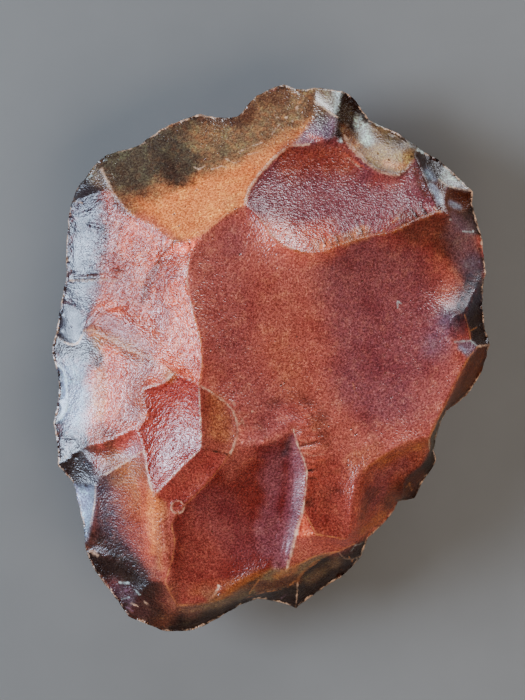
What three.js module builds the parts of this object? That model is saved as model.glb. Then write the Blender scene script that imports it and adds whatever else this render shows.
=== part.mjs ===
// A knapped stone hand axe, lying on its flatter face: an oval biface of glossy red jasper.
// Its form is a map of ridges: every flake that was struck off left a shallow bowl, and the ridges are
// where two bowls meet. The upper and the lower map share one sinuous cutting edge.
// Millimetres, +Z up. The origin is on the rest face's plane, under the middle of the outline, and +Y
// points along the length to the blunt tip.

import * as THREE from "three";

const LENGTH = 110;
const WIDTH = 88;
const THICKNESS = 34;

// Size of the triangles, along the ridges and inside the bowls.
const RIDGE_STEP = 1.8;
const BOWL_STEP = 2.3;
const BOWL_CLEARANCE = 0.6; // of a bowl step, kept free between the inner points and the rim
const NEARLY_ZERO = 1e-9;

// A point is [x, y, height]: thousandths of the width and of the length, from the middle of the
// outline, and percent of the thickness above the rest face.
const PLAN_SHARE = 1000;
const HEIGHT_SHARE = 100;

// The cutting edge, clockwise from the tip: e0, e1, e2 and so on.
const EDGE = [
  [25, 499, 45], [62, 491, 45], [100, 494, 46], [160, 489, 45], [187, 477, 43], [224, 436, 42],
  [262, 421, 44], [300, 407, 43], [350, 377, 43], [378, 366, 43], [402, 351, 43], [463, 306, 42],
  [461, 284, 42], [470, 258, 41], [482, 226, 41], [493, 160, 41], [484, 110, 42], [489, 62, 42],
  [500, 25, 43], [478, -30, 42], [447, -68, 41], [402, -95, 41], [382, -130, 41], [372, -168, 41],
  [378, -187, 41], [350, -222, 41], [328, -256, 42], [291, -261, 42], [270, -290, 43], [222, -327, 44],
  [205, -362, 42], [168, -394, 40], [112, -424, 39], [57, -457, 39], [5, -444, 40], [-35, -440, 41],
  [-105, -466, 41], [-172, -494, 40], [-243, -500, 39], [-328, -473, 40], [-358, -437, 41], [-400, -393, 42],
  [-426, -348, 43], [-432, -300, 43], [-455, -226, 42], [-490, -196, 42], [-490, -165, 42], [-500, -118, 42],
  [-487, -50, 42], [-497, -8, 42], [-503, 12, 42], [-495, 42, 43], [-482, 100, 43], [-470, 150, 42],
  [-470, 210, 42], [-461, 280, 42], [-446, 310, 43], [-405, 352, 44], [-375, 372, 45], [-310, 387, 46],
  [-245, 421, 46], [-165, 446, 46], [-80, 442, 46], [-40, 475, 45],
];

// Where the ridges of the upper face meet or bend.
const UPPER_POINTS = {
  // round the rind that is left at the tip
  a1: [-388, 343, 51], a2: [-366, 308, 57], a3: [-345, 285, 61], a4: [-318, 262, 65], a5: [-265, 238, 73],
  a6: [-205, 208, 83], a7: [-150, 222, 88], a8: [-100, 256, 86], a9: [-58, 274, 84], a10: [-48, 305, 79],
  a11: [0, 355, 70], a12: [42, 384, 64], a13: [92, 432, 56], a14: [99, 467, 51],
  // the crest on the left of the great central scar
  c1: [-180, 180, 92], c2: [-187, 135, 95], c3: [-172, 80, 97.5], c4: [-156, 30, 99], c5: [-153, -15, 100],
  c6: [-160, -46, 99],
  // round the scar above the centre
  u1: [-25, 248, 87], u2: [8, 213, 89], u3: [50, 193, 89], u4: [100, 188, 88], u5: [150, 202, 85],
  u6: [205, 216, 81], u7: [265, 225, 79], u8: [320, 246, 74], u9: [378, 265, 66], u10: [85, 386, 64],
  // the chips and the notch right of the tip
  n1: [154, 462, 50], n2: [150, 438, 53], n3: [142, 400, 60], n4: [203, 424, 47], n5: [172, 387, 60],
  n6: [205, 360, 61], n7: [245, 338, 61], n8: [290, 332, 59], n9: [318, 354, 54], n10: [325, 376, 51],
  // the retouched right shoulder
  o1: [350, 316, 62], o2: [382, 326, 51], o3: [402, 314, 50], o4: [392, 286, 60], o5: [398, 262, 64],
  o6: [440, 268, 48], o7: [406, 248, 64], o8: [430, 229, 56],
  // small facets at the right corner
  r1: [465, 118, 50], r2: [437, 80, 61], r3: [405, 68, 68], r4: [412, 30, 70], r5: [452, 33, 58],
  r6: [450, 50, 55], r7: [470, 57, 48], r8: [468, 22, 57],
  // the crest over the steep lower right side
  v1: [442, 0, 68], v2: [422, -28, 71], v3: [398, -68, 74], v4: [375, -105, 76], v5: [352, -142, 78],
  v6: [300, -149, 81], v7: [250, -172, 83], v8: [205, -200, 84], v9: [190, -245, 83], v10: [183, -300, 78],
  t1: [357, -165, 64], t2: [338, -190, 67], t3: [302, -214, 67], t4: [297, -243, 59],
  // round the deep scar at the lower middle
  p1: [-40, -151, 94.5], p2: [0, -147, 94], p3: [48, -124, 93], p4: [58, -152, 91], p5: [77, -195, 89],
  p6: [75, -233, 87], p7: [70, -266, 84.5], p8: [52, -319, 78], p9: [45, -345, 76], p10: [34, -377, 73],
  p11: [0, -374, 74], p12: [-62, -402, 69], p13: [-125, -436, 61], p14: [-213, -447, 55],
  p15: [-225, -428, 60], p16: [-240, -400, 67], p17: [-225, -365, 70], p18: [-217, -325, 74],
  p19: [-222, -292, 78], p20: [-200, -265, 82], p21: [-135, -212, 89], p22: [-93, -168, 93],
  p23: [-82, -150, 93.5],
  // small facets left of the centre
  j1: [-125, -62, 97.5], j2: [-88, -88, 96], j3: [-75, -122, 94.5], j4: [-155, -157, 95], j5: [-157, -102, 96],
  j6: [-190, -33, 96], j7: [-218, -25, 92], j8: [-240, -42, 89], j9: [-288, -58, 82], j10: [-278, -100, 81],
  j11: [-300, -121, 77], j12: [-284, -163, 78], j13: [-262, -243, 83], j14: [-205, -195, 91],
  j15: [-245, -258, 81.5],
  // the foot of the steep wall on the right of the deep scar
  q1: [36, -165, 86], q2: [38, -210, 82.5], q3: [28, -265, 78.5], q4: [12, -325, 73.5],
  // the steep facets along the bottom
  s1: [100, -311, 82.5], s2: [165, -321, 76], s3: [188, -334, 60], s4: [150, -346, 67], s5: [100, -353, 69],
  s6: [58, -369, 70], s7: [172, -363, 54], s8: [110, -360, 62], s9: [72, -384, 59], s10: [60, -406, 54],
  s11: [-10, -421, 55], s12: [-51, -426, 56], s13: [-25, -394, 68], s14: [-85, -441, 50],
  // the lower left flank
  z1: [-365, -146, 66], z2: [-306, -173, 72], z3: [-350, -196, 64], z4: [-387, -213, 57], z5: [-400, -229, 54],
  z6: [-403, -262, 52], z7: [-413, -302, 49], z8: [-276, -205, 79], z9: [-252, -285, 80], z10: [-244, -340, 76],
  z11: [-432, -161, 51], y1: [-362, -368, 50], y2: [-308, -389, 54], y3: [-272, -402, 60], y4: [-306, -431, 51],
  // the upper left flank
  d1: [-442, 291, 46], d2: [-335, 156, 64], d3: [-440, 86, 48], d4: [-428, 51, 51], d5: [-450, 26, 48],
  d6: [-385, 87, 59], d7: [-330, 62, 69], d8: [-272, 26, 79.5], d9: [-400, 50, 58], d10: [-330, 20, 70],
  d11: [-262, 0, 82], w1: [-476, -25, 45], w2: [-467, -62, 46], w3: [-472, -98, 45],
};

// The scars of the upper face: the points round each one, and how deep its bowl is, in millimetres.
const UPPER_SCARS = {
  rind: { rim: "e58-e63 e0-e2 a14 a13 a12 a11 a10 a9 a8 a7 a6 a5 a4 a3 a2 a1 e57", hollow: 0.6 },
  pale_chip: { rim: "e2 e3 n1 n2 a14", hollow: 0.3 },
  tip_patch: { rim: "a14 n2 n3 u10 a12 a13", hollow: 0.5 },
  notch: { rim: "e3-e5 n4 n5 n3 n2 n1", hollow: 0.5 },
  translucent_chip: { rim: "e5-e8 n10 n9 n8 n7 n6 n5 n4", hollow: 1.1 },
  upper_scar: { rim: "a9 a10 a11 a12 u10 n3 n5 n6 n7 n8 n9 n10 o1 u9 u8 u7 u6 u5 u4 u3 u2 u1", hollow: 1.9 },
  shoulder_wedge: { rim: "n10 e8 e9 e10 o2 o1", hollow: 0.6 },
  shoulder_rim: { rim: "e10 e11 o3 o2", hollow: 0.3 },
  shoulder_step: { rim: "o1 o2 o3 o4 o5 u9", hollow: 0.5 },
  shoulder_scoop: { rim: "o3 e11 e12 o6 o5 o4", hollow: 0.6 },
  shoulder_foot: { rim: "o5 o6 e12 e13 e14 o8 o7", hollow: 0.5 },
  central_scar: {
    rim:
      "a7 a8 a9 u1 u2 u3 u4 u5 u6 u7 u8 u9 o5 o7 o8 e14 e15 r1 r2 r3 r4 v1 v2 v3 v4 v5 v6 v7 v8 v9 v10 " +
      "s2 s1 p7 p6 p5 p4 p3 p2 p1 p23 j3 j2 j1 c6 c5 c4 c3 c2 c1",
    hollow: 2.7,
  },
  corner_dark: { rim: "r1 e15 e16 e17 r7 r6 r2", hollow: 0.5 },
  corner_amber: { rim: "r2 r6 r5 r4 r3", hollow: 0.3 },
  corner_notch: { rim: "r6 r7 e17 e18 r8 r5", hollow: 0.4 },
  corner_bright: { rim: "r4 r5 r8 v1", hollow: 0.4 },
  right_side: { rim: "r8 e18-e21 v4 v3 v2 v1", hollow: 0.5 },
  right_sliver: { rim: "v4 e21-e23 t1 v5", hollow: 0.2 },
  lower_right_scar: { rim: "v5 t1 t2 t3 t4 e27-e29 s3 s2 v10 v9 v8 v7 v6", hollow: 1.2 },
  lower_right_edge: { rim: "t1 e23-e27 t4 t3 t2", hollow: 0.5 },
  deep_scar: { rim: "p23 p1 p2 p3 q1 q2 q3 q4 p11 p12 p13 p14 p15 p16 p17 p18 p19 p20 p21 p22", hollow: 1.0 },
  deep_wall: { rim: "p3 p4 p5 p6 p7 p8 p9 p10 p11 q4 q3 q2 q1", hollow: 0.3 },
  triangle: { rim: "p7 s1 p8", hollow: 0.2 },
  amber_step: { rim: "p8 s1 s2 s3 s4 s5 s6 p10 p9", hollow: 0.4 },
  bottom_ledge: { rim: "p11 p10 s6 s5 s4 s8 s9 s10 s11 s12 s13", hollow: 0.3 },
  bottom_right: { rim: "s4 s7 e30-e33 s10 s9 s8", hollow: 0.6 },
  bottom_nick: { rim: "s4 s3 e29 e30 s7", hollow: 0.3 },
  bottom_left: { rim: "s12 s11 s10 e33-e36 s14", hollow: 0.4 },
  butt: { rim: "p11 s13 s12 s14 e36-e38 p14 p13 p12", hollow: 0.4 },
  butt_corner: { rim: "p16 p15 p14 e38 e39 y4 y3", hollow: 0.4 },
  butt_left: { rim: "e42 y1 y2 y3 y4 e39-e41", hollow: 0.6 },
  brown_facet: { rim: "c6 j1 j2 j3 p23 p22 j4 j5", hollow: 0.4 },
  diamond_scar: { rim: "c6 j5 j4 j14 j13 z8 j12 j11 j10 j9 j8 j7 j6", hollow: 1.6 },
  red_facet: { rim: "j4 p22 p21 p20 j15 j13 j14", hollow: 0.3 },
  red_sliver: { rim: "j13 j15 p20 p19 p18 p17 p16 z10 z9", hollow: 0.3 },
  upper_left_scar: { rim: "e53-e55 d1 a2 a3 a4 a5 a6 a7 c1 c2 d2", hollow: 0.8 },
  left_corner: { rim: "e56 e57 a1 a2 d1 e55", hollow: 0.4 },
  mid_left_scar: { rim: "e52 e53 d2 c2 c3 c4 c5 c6 j6 j7 d11 d8 d7 d6 d4 d3", hollow: 1.2 },
  pale_left_chip: { rim: "e51 e52 d3 d4 d5", hollow: 0.4 },
  fan_scar: { rim: "d4 d6 d7 d8 d11 d10 d9", hollow: 0.3 },
  left_scar: {
    rim: "e51 d5 d4 d9 d10 d11 j7 j8 j9 j10 j11 z1 z11 e45-e47 w3 w2 w1 e49 e50",
    hollow: 1.5,
  },
  left_crescent: { rim: "e47-e49 w1 w2 w3", hollow: 0.1 },
  left_trough: { rim: "z11 z1 j11 j12 z2 z3 z4", hollow: 1.0 },
  left_dark_chip: { rim: "e45 z11 z4 z5 e44", hollow: 0.5 },
  left_pale_chip: { rim: "e44 z5 z6 z7 e42 e43", hollow: 0.3 },
  lower_left_scar: { rim: "z5 z4 z3 z2 j12 z8 j13 z9 z10 p16 y3 y2 y1 e42 z7 z6", hollow: 1.3 },
};

// The under face: ridges run from the flat rest face out to the edge, and a scar lies between each two.
// Each row is the edge point that a ridge reaches, the share of the way out where it leaves the rest
// face, how far it bends aside on its way, as a share of its run, and the depth of the scar after it.
const REST_CENTRE = [5, -15, 0];
const UNDER_RIDGES = [
  [2, 0.44, 0.06, 1.1], [8, 0.38, -0.08, 1.0], [14, 0.46, 0.05, 1.6], [20, 0.42, -0.1, 1.1],
  [26, 0.36, 0.07, 1.5], [33, 0.43, -0.05, 1.3], [38, 0.5, 0.1, 1.2], [44, 0.4, -0.08, 1.7],
  [51, 0.47, 0.04, 1.3], [56, 0.4, -0.06, 1.0], [61, 0.37, 0.09, 1.5],
];
const BEND_AT = 0.5; // share of a ridge's run where it bends
const BEND_HEIGHT = 0.3; // of the edge's height, so that the under face is domed

const place = ([x, y, z]) =>
  new THREE.Vector3((x / PLAN_SHARE) * WIDTH, (y / PLAN_SHARE) * LENGTH, (z / HEIGHT_SHARE) * THICKNESS);

// Every named point of the ridge map in millimetres.
const points = new Map();
EDGE.forEach((p, i) => points.set(`e${i}`, place(p)));
Object.entries(UPPER_POINTS).forEach(([name, p]) => points.set(name, place(p)));
const scars = Object.values(UPPER_SCARS).map(({ rim, hollow }) => ({ rim: expand(rim), hollow, up: true }));

// "e3-e6" in a rim stands for e3 e4 e5 e6.
function expand(rim) {
  return rim.split(" ").flatMap((word) => {
    const run = /^e(\d+)-e(\d+)$/.exec(word);
    return run ? edgeRun(Number(run[1]), Number(run[2])) : [word];
  });
}

// Names of the edge points from one to another, clockwise.
function edgeRun(from, to) {
  const count = ((to - from + EDGE.length) % EDGE.length) + 1;
  return Array.from({ length: count }, (_, i) => `e${(from + i) % EDGE.length}`);
}

function addUnderFace() {
  const centre = place(REST_CENTRE);
  UNDER_RIDGES.forEach(([edge, leaves, bend], i) => {
    const end = points.get(`e${edge}`);
    const way = new THREE.Vector3(end.x - centre.x, end.y - centre.y, 0);
    const aside = new THREE.Vector3(-way.y, way.x, 0).multiplyScalar(bend);
    const bendShare = leaves + (1 - leaves) * BEND_AT;
    points.set(`foot${i}`, centre.clone().addScaledVector(way, leaves));
    const middle = centre.clone().addScaledVector(way, bendShare).add(aside);
    middle.z = end.z * BEND_HEIGHT;
    points.set(`bend${i}`, middle);
  });
  UNDER_RIDGES.forEach(([edge, , , hollow], i) => {
    const next = (i + 1) % UNDER_RIDGES.length;
    const rim = [...edgeRun(edge, UNDER_RIDGES[next][0]), `bend${next}`, `foot${next}`, `foot${i}`, `bend${i}`];
    scars.push({ rim, hollow, up: false });
  });
  scars.push({ rim: UNDER_RIDGES.map((_, i) => `foot${i}`), hollow: 0, up: false });
}

// The names that each point is joined to by a ridge or by the edge.
function neighboursOf(allScars) {
  const joined = new Map([...points.keys()].map((name) => [name, new Set()]));
  for (const { rim } of allScars)
    rim.forEach((name, i) => {
      const next = rim[(i + 1) % rim.length];
      joined.get(name).add(next);
      joined.get(next).add(name);
    });
  return joined;
}

// How a ridge leaves point a on its way to b: it runs on smoothly where a only bends it, and stops
// short, with no turn of its own, where three or more ridges meet.
function tangentAt(a, b, joined) {
  const others = [...joined.get(a)].filter((name) => name !== b);
  if (others.length !== 1) return null;
  const chord = points.get(b).clone().sub(points.get(a));
  return points.get(b).clone().sub(points.get(others[0])).setLength(chord.length());
}

const vertices = [];
const indexOf = new Map();
const ridges = new Map();

function addVertex(point) {
  vertices.push(point);
  return vertices.length - 1;
}

function pointIndex(name) {
  if (!indexOf.has(name)) indexOf.set(name, addVertex(points.get(name)));
  return indexOf.get(name);
}

// Vertex numbers from point a up to, but not including, point b, along the curved ridge between them.
function ridgeRun(a, b, joined) {
  const key = a < b ? `${a} ${b}` : `${b} ${a}`;
  if (!ridges.has(key)) ridges.set(key, traceRidge(...key.split(" "), joined));
  const inner = ridges.get(key);
  return [pointIndex(a), ...(a < b ? inner : [...inner].reverse())];
}

function traceRidge(a, b, joined) {
  const from = points.get(a);
  const to = points.get(b);
  const chord = to.clone().sub(from);
  const bendA = tangentAt(a, b, joined);
  const bendB = tangentAt(b, a, joined)?.negate();
  const free = (other) => (other ? chord.clone().multiplyScalar(1.5).addScaledVector(other, -0.5) : chord);
  const startWay = bendA ?? free(bendB);
  const endWay = bendB ?? free(bendA);
  const control1 = from.clone().addScaledVector(startWay, 1 / 3);
  const control2 = to.clone().addScaledVector(endWay, -1 / 3);
  const curve = new THREE.CubicBezierCurve3(from, control1, control2, to);
  const pieces = Math.max(1, Math.round(chord.length() / RIDGE_STEP));
  return Array.from({ length: pieces - 1 }, (_, i) => addVertex(curve.getPoint((i + 1) / pieces)));
}

// Mean value weights of a point inside a rim: they blend the rim's heights smoothly, and their sum
// falls from the rim to the middle, so that its inverse is a smooth measure of the distance from it.
function meanValueWeights(x, y, rim) {
  const rays = rim.map((p) => {
    const dx = p.x - x;
    const dy = p.y - y;
    return { dx, dy, far: Math.hypot(dx, dy) };
  });
  const halfTangents = rays.map((a, i) => {
    const b = rays[(i + 1) % rays.length];
    const cross = a.dx * b.dy - a.dy * b.dx;
    const dot = a.dx * b.dx + a.dy * b.dy;
    return (a.far * b.far - dot) / cross;
  });
  return rays.map((a, i) => (halfTangents[i] + halfTangents[(i + rays.length - 1) % rays.length]) / a.far);
}

function insidePolygon(x, y, rim) {
  let inside = false;
  rim.forEach((a, i) => {
    const b = rim[(i + 1) % rim.length];
    if (a.y > y !== b.y > y && x < ((b.x - a.x) * (y - a.y)) / (b.y - a.y) + a.x) inside = !inside;
  });
  return inside;
}

function distanceToRim(x, y, rim) {
  return Math.min(
    ...rim.map((a, i) => {
      const b = rim[(i + 1) % rim.length];
      const dx = b.x - a.x;
      const dy = b.y - a.y;
      const t = THREE.MathUtils.clamp(((x - a.x) * dx + (y - a.y) * dy) / (dx * dx + dy * dy), 0, 1);
      return Math.hypot(a.x + t * dx - x, a.y + t * dy - y);
    }),
  );
}

// The points inside a scar: a grid of equal triangles, each at its own height in the bowl.
function bowlPoints(rim, hollow, up) {
  const box = new THREE.Box2().setFromPoints(rim.map((p) => new THREE.Vector2(p.x, p.y)));
  const rowStep = (BOWL_STEP * Math.sqrt(3)) / 2;
  const found = [];
  for (let row = 0, y = box.min.y; y < box.max.y; row++, y += rowStep)
    for (let x = box.min.x + (row % 2 ? BOWL_STEP / 2 : 0); x < box.max.x; x += BOWL_STEP) {
      if (!insidePolygon(x, y, rim) || distanceToRim(x, y, rim) < BOWL_CLEARANCE * BOWL_STEP) continue;
      const weights = meanValueWeights(x, y, rim);
      const sum = weights.reduce((a, b) => a + b);
      const height = weights.reduce((z, w, i) => z + w * rim[i].z, 0) / sum;
      found.push({ x, y, height, reach: 1 / sum });
    }
  const deepest = Math.max(...found.map((p) => p.reach));
  const sign = up ? -1 : 1;
  return found.map((p) => new THREE.Vector3(p.x, p.y, p.height + (sign * hollow * p.reach) / deepest));
}

const turn = (a, b, c) => (b.x - a.x) * (c.y - a.y) - (b.y - a.y) * (c.x - a.x);

// Whether d lies inside the circle through a, b and c, which run anticlockwise.
function inCircle(a, b, c, d) {
  const rows = [a, b, c].map((p) => [p.x - d.x, p.y - d.y, (p.x - d.x) ** 2 + (p.y - d.y) ** 2]);
  const [[ax, ay, as], [bx, by, bs], [cx, cy, cs]] = rows;
  return ax * (by * cs - bs * cy) - ay * (bx * cs - bs * cx) + as * (bx * cy - by * cx) > NEARLY_ZERO;
}

// Anticlockwise triangles that fill the rim and use every inner point. Both lists hold vertex numbers.
function fillRim(rim, inner) {
  const at = (i) => vertices[i];
  const contour = rim.map((i) => new THREE.Vector2(at(i).x, at(i).y));
  const triangles = THREE.ShapeUtils.triangulateShape(contour, []).map((t) => t.map((i) => rim[i]));
  for (const p of inner) {
    const holds = ([a, b, c]) => [[a, b], [b, c], [c, a]].every(([s, e]) => turn(at(s), at(e), at(p)) > 0);
    const hit = triangles.findIndex(holds);
    if (hit < 0) continue;
    const [a, b, c] = triangles.splice(hit, 1)[0];
    triangles.push([a, b, p], [b, c, p], [c, a, p]);
  }
  while (flipEdges(triangles, at));
  return triangles;
}

// One pass that turns each inner edge whose two triangles would be better shaped the other way.
function flipEdges(triangles, at) {
  const owners = new Map();
  const touched = new Set();
  let flipped = false;
  triangles.forEach((t, i) => t.forEach((a, k) => owners.set(`${a} ${t[(k + 1) % 3]}`, [i, t[(k + 2) % 3]])));
  for (const [key, [first, apex]] of owners) {
    const [a, b] = key.split(" ").map(Number);
    const [second, foot] = owners.get(`${b} ${a}`) ?? [];
    if (second === undefined || touched.has(first) || touched.has(second)) continue;
    if (!inCircle(at(a), at(b), at(apex), at(foot))) continue;
    if (turn(at(apex), at(foot), at(b)) <= 0 || turn(at(foot), at(apex), at(a)) <= 0) continue;
    triangles[first] = [a, foot, apex];
    triangles[second] = [foot, b, apex];
    touched.add(first).add(second);
    flipped = true;
  }
  return flipped;
}

// The curved edge bulges past its points here and there, so the stone is fitted to its length and
// width, with the origin under the middle of its outline.
function fitToSize() {
  const box = new THREE.Box3().setFromPoints(vertices);
  const size = box.getSize(new THREE.Vector3());
  const middle = box.getCenter(new THREE.Vector3());
  for (const vertex of vertices) {
    vertex.x = ((vertex.x - middle.x) / size.x) * WIDTH;
    vertex.y = ((vertex.y - middle.y) / size.y) * LENGTH;
  }
}

function stoneGeometry() {
  addUnderFace();
  const joined = neighboursOf(scars);
  const faces = [];
  for (const { rim, hollow, up } of scars) {
    let numbers = rim.flatMap((name, i) => ridgeRun(name, rim[(i + 1) % rim.length], joined));
    if (THREE.ShapeUtils.area(numbers.map((i) => vertices[i])) < 0) numbers = numbers.reverse();
    const inner = bowlPoints(numbers.map((i) => vertices[i]), hollow, up).map(addVertex);
    const triangles = fillRim(numbers, inner);
    faces.push(...triangles.flatMap(([a, b, c]) => (up ? [a, b, c] : [a, c, b])));
  }
  fitToSize();
  const geometry = new THREE.BufferGeometry().setFromPoints(vertices).setIndex(faces);
  geometry.computeVertexNormals();
  return geometry;
}

const jasper = new THREE.MeshStandardMaterial({ color: 0x8c4030, roughness: 0.38, metalness: 0 });
const stone = new THREE.Mesh(stoneGeometry(), jasper);
stone.name = "hand_axe";

const group = new THREE.Group();
group.add(stone);

export default group;
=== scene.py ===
# A knapped stone hand axe of glossy red jasper, lying flat and seen from straight above.
# The ridge map is the solid's own, though six small scars are a little deeper or shallower here. Each
# flake scar is a bowl between its ridges, meshed finely, and then gets its hackles, cracks, chips, worn
# ridges and colours. Part of the paint is painted highlight and painted shade, on ridges and in scars.
import math

import bpy
import numpy as np
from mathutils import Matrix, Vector, noise
from mathutils.geometry import delaunay_2d_cdt
from mathutils.kdtree import KDTree


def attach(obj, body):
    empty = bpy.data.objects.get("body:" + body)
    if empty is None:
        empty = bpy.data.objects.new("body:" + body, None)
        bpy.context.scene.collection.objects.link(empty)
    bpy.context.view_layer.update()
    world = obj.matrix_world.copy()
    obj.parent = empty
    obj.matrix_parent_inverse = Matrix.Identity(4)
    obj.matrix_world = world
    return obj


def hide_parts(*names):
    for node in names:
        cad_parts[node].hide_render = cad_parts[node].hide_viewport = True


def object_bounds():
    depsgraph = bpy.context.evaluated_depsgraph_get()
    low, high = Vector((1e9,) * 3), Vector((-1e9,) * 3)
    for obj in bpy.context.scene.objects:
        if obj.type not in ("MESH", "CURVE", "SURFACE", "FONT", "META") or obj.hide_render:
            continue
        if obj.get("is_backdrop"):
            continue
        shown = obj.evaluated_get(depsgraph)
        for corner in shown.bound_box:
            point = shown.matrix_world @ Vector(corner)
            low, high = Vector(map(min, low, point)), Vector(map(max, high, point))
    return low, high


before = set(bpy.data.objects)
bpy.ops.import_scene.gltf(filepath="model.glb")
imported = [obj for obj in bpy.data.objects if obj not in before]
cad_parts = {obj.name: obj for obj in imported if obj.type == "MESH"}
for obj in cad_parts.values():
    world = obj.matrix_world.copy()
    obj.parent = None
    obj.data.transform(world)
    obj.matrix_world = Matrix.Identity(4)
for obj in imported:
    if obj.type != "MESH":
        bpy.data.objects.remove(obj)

CAD_LOW, CAD_HIGH = (np.array(corner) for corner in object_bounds())
MM = 0.001  # metres
SIZE = (CAD_HIGH - CAD_LOW) / MM
WIDTH, LENGTH, THICKNESS = SIZE

UPPER_STEP = 0.34  # spacing of the vertices, in mm
UNDER_STEP = 0.85
STEEP_RIMS = {"upper_scar": 0.55}  # bowls that are flat in the middle and steep at the rim
BOWL_CLEARANCE = 0.6  # of a step, kept free between the inner points and the rim
RIM_STRIDE = 2  # every so many rim vertices are enough to find a bowl's heights
FAR = 1000.0  # mm, further than anything here
LINE_REACH = 4.0  # half widths, past which a line leaves no trace
BATCH = 4000  # points whose heights are worked out at once

# Points are [x, y, height]: thousandths of the width and of the length, from the middle of the outline,
# and percent of the thickness above the rest face. The cutting edge runs clockwise from the tip.
EDGE = [
    [25, 499, 45], [62, 491, 45], [100, 494, 46], [160, 489, 45], [187, 477, 43], [224, 436, 42],
    [262, 421, 44], [300, 407, 43], [350, 377, 43], [378, 366, 43], [402, 351, 43], [463, 306, 42],
    [461, 284, 42], [470, 258, 41], [482, 226, 41], [493, 160, 41], [484, 110, 42], [489, 62, 42],
    [500, 25, 43], [478, -30, 42], [447, -68, 41], [402, -95, 41], [382, -130, 41], [372, -168, 41],
    [378, -187, 41], [350, -222, 41], [328, -256, 42], [291, -261, 42], [270, -290, 43], [222, -327, 44],
    [205, -362, 42], [168, -394, 40], [112, -424, 39], [57, -457, 39], [5, -444, 40], [-35, -440, 41],
    [-105, -466, 41], [-172, -494, 40], [-243, -500, 39], [-328, -473, 40], [-358, -437, 41],
    [-400, -393, 42], [-426, -348, 43], [-432, -300, 43], [-455, -226, 42], [-490, -196, 42],
    [-490, -165, 42], [-500, -118, 42], [-487, -50, 42], [-497, -8, 42], [-503, 12, 42], [-495, 42, 43],
    [-482, 100, 43], [-470, 150, 42], [-470, 210, 42], [-461, 280, 42], [-446, 310, 43], [-405, 352, 44],
    [-375, 372, 45], [-310, 387, 46], [-245, 421, 46], [-165, 446, 46], [-80, 442, 46], [-40, 475, 45],
]

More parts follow.
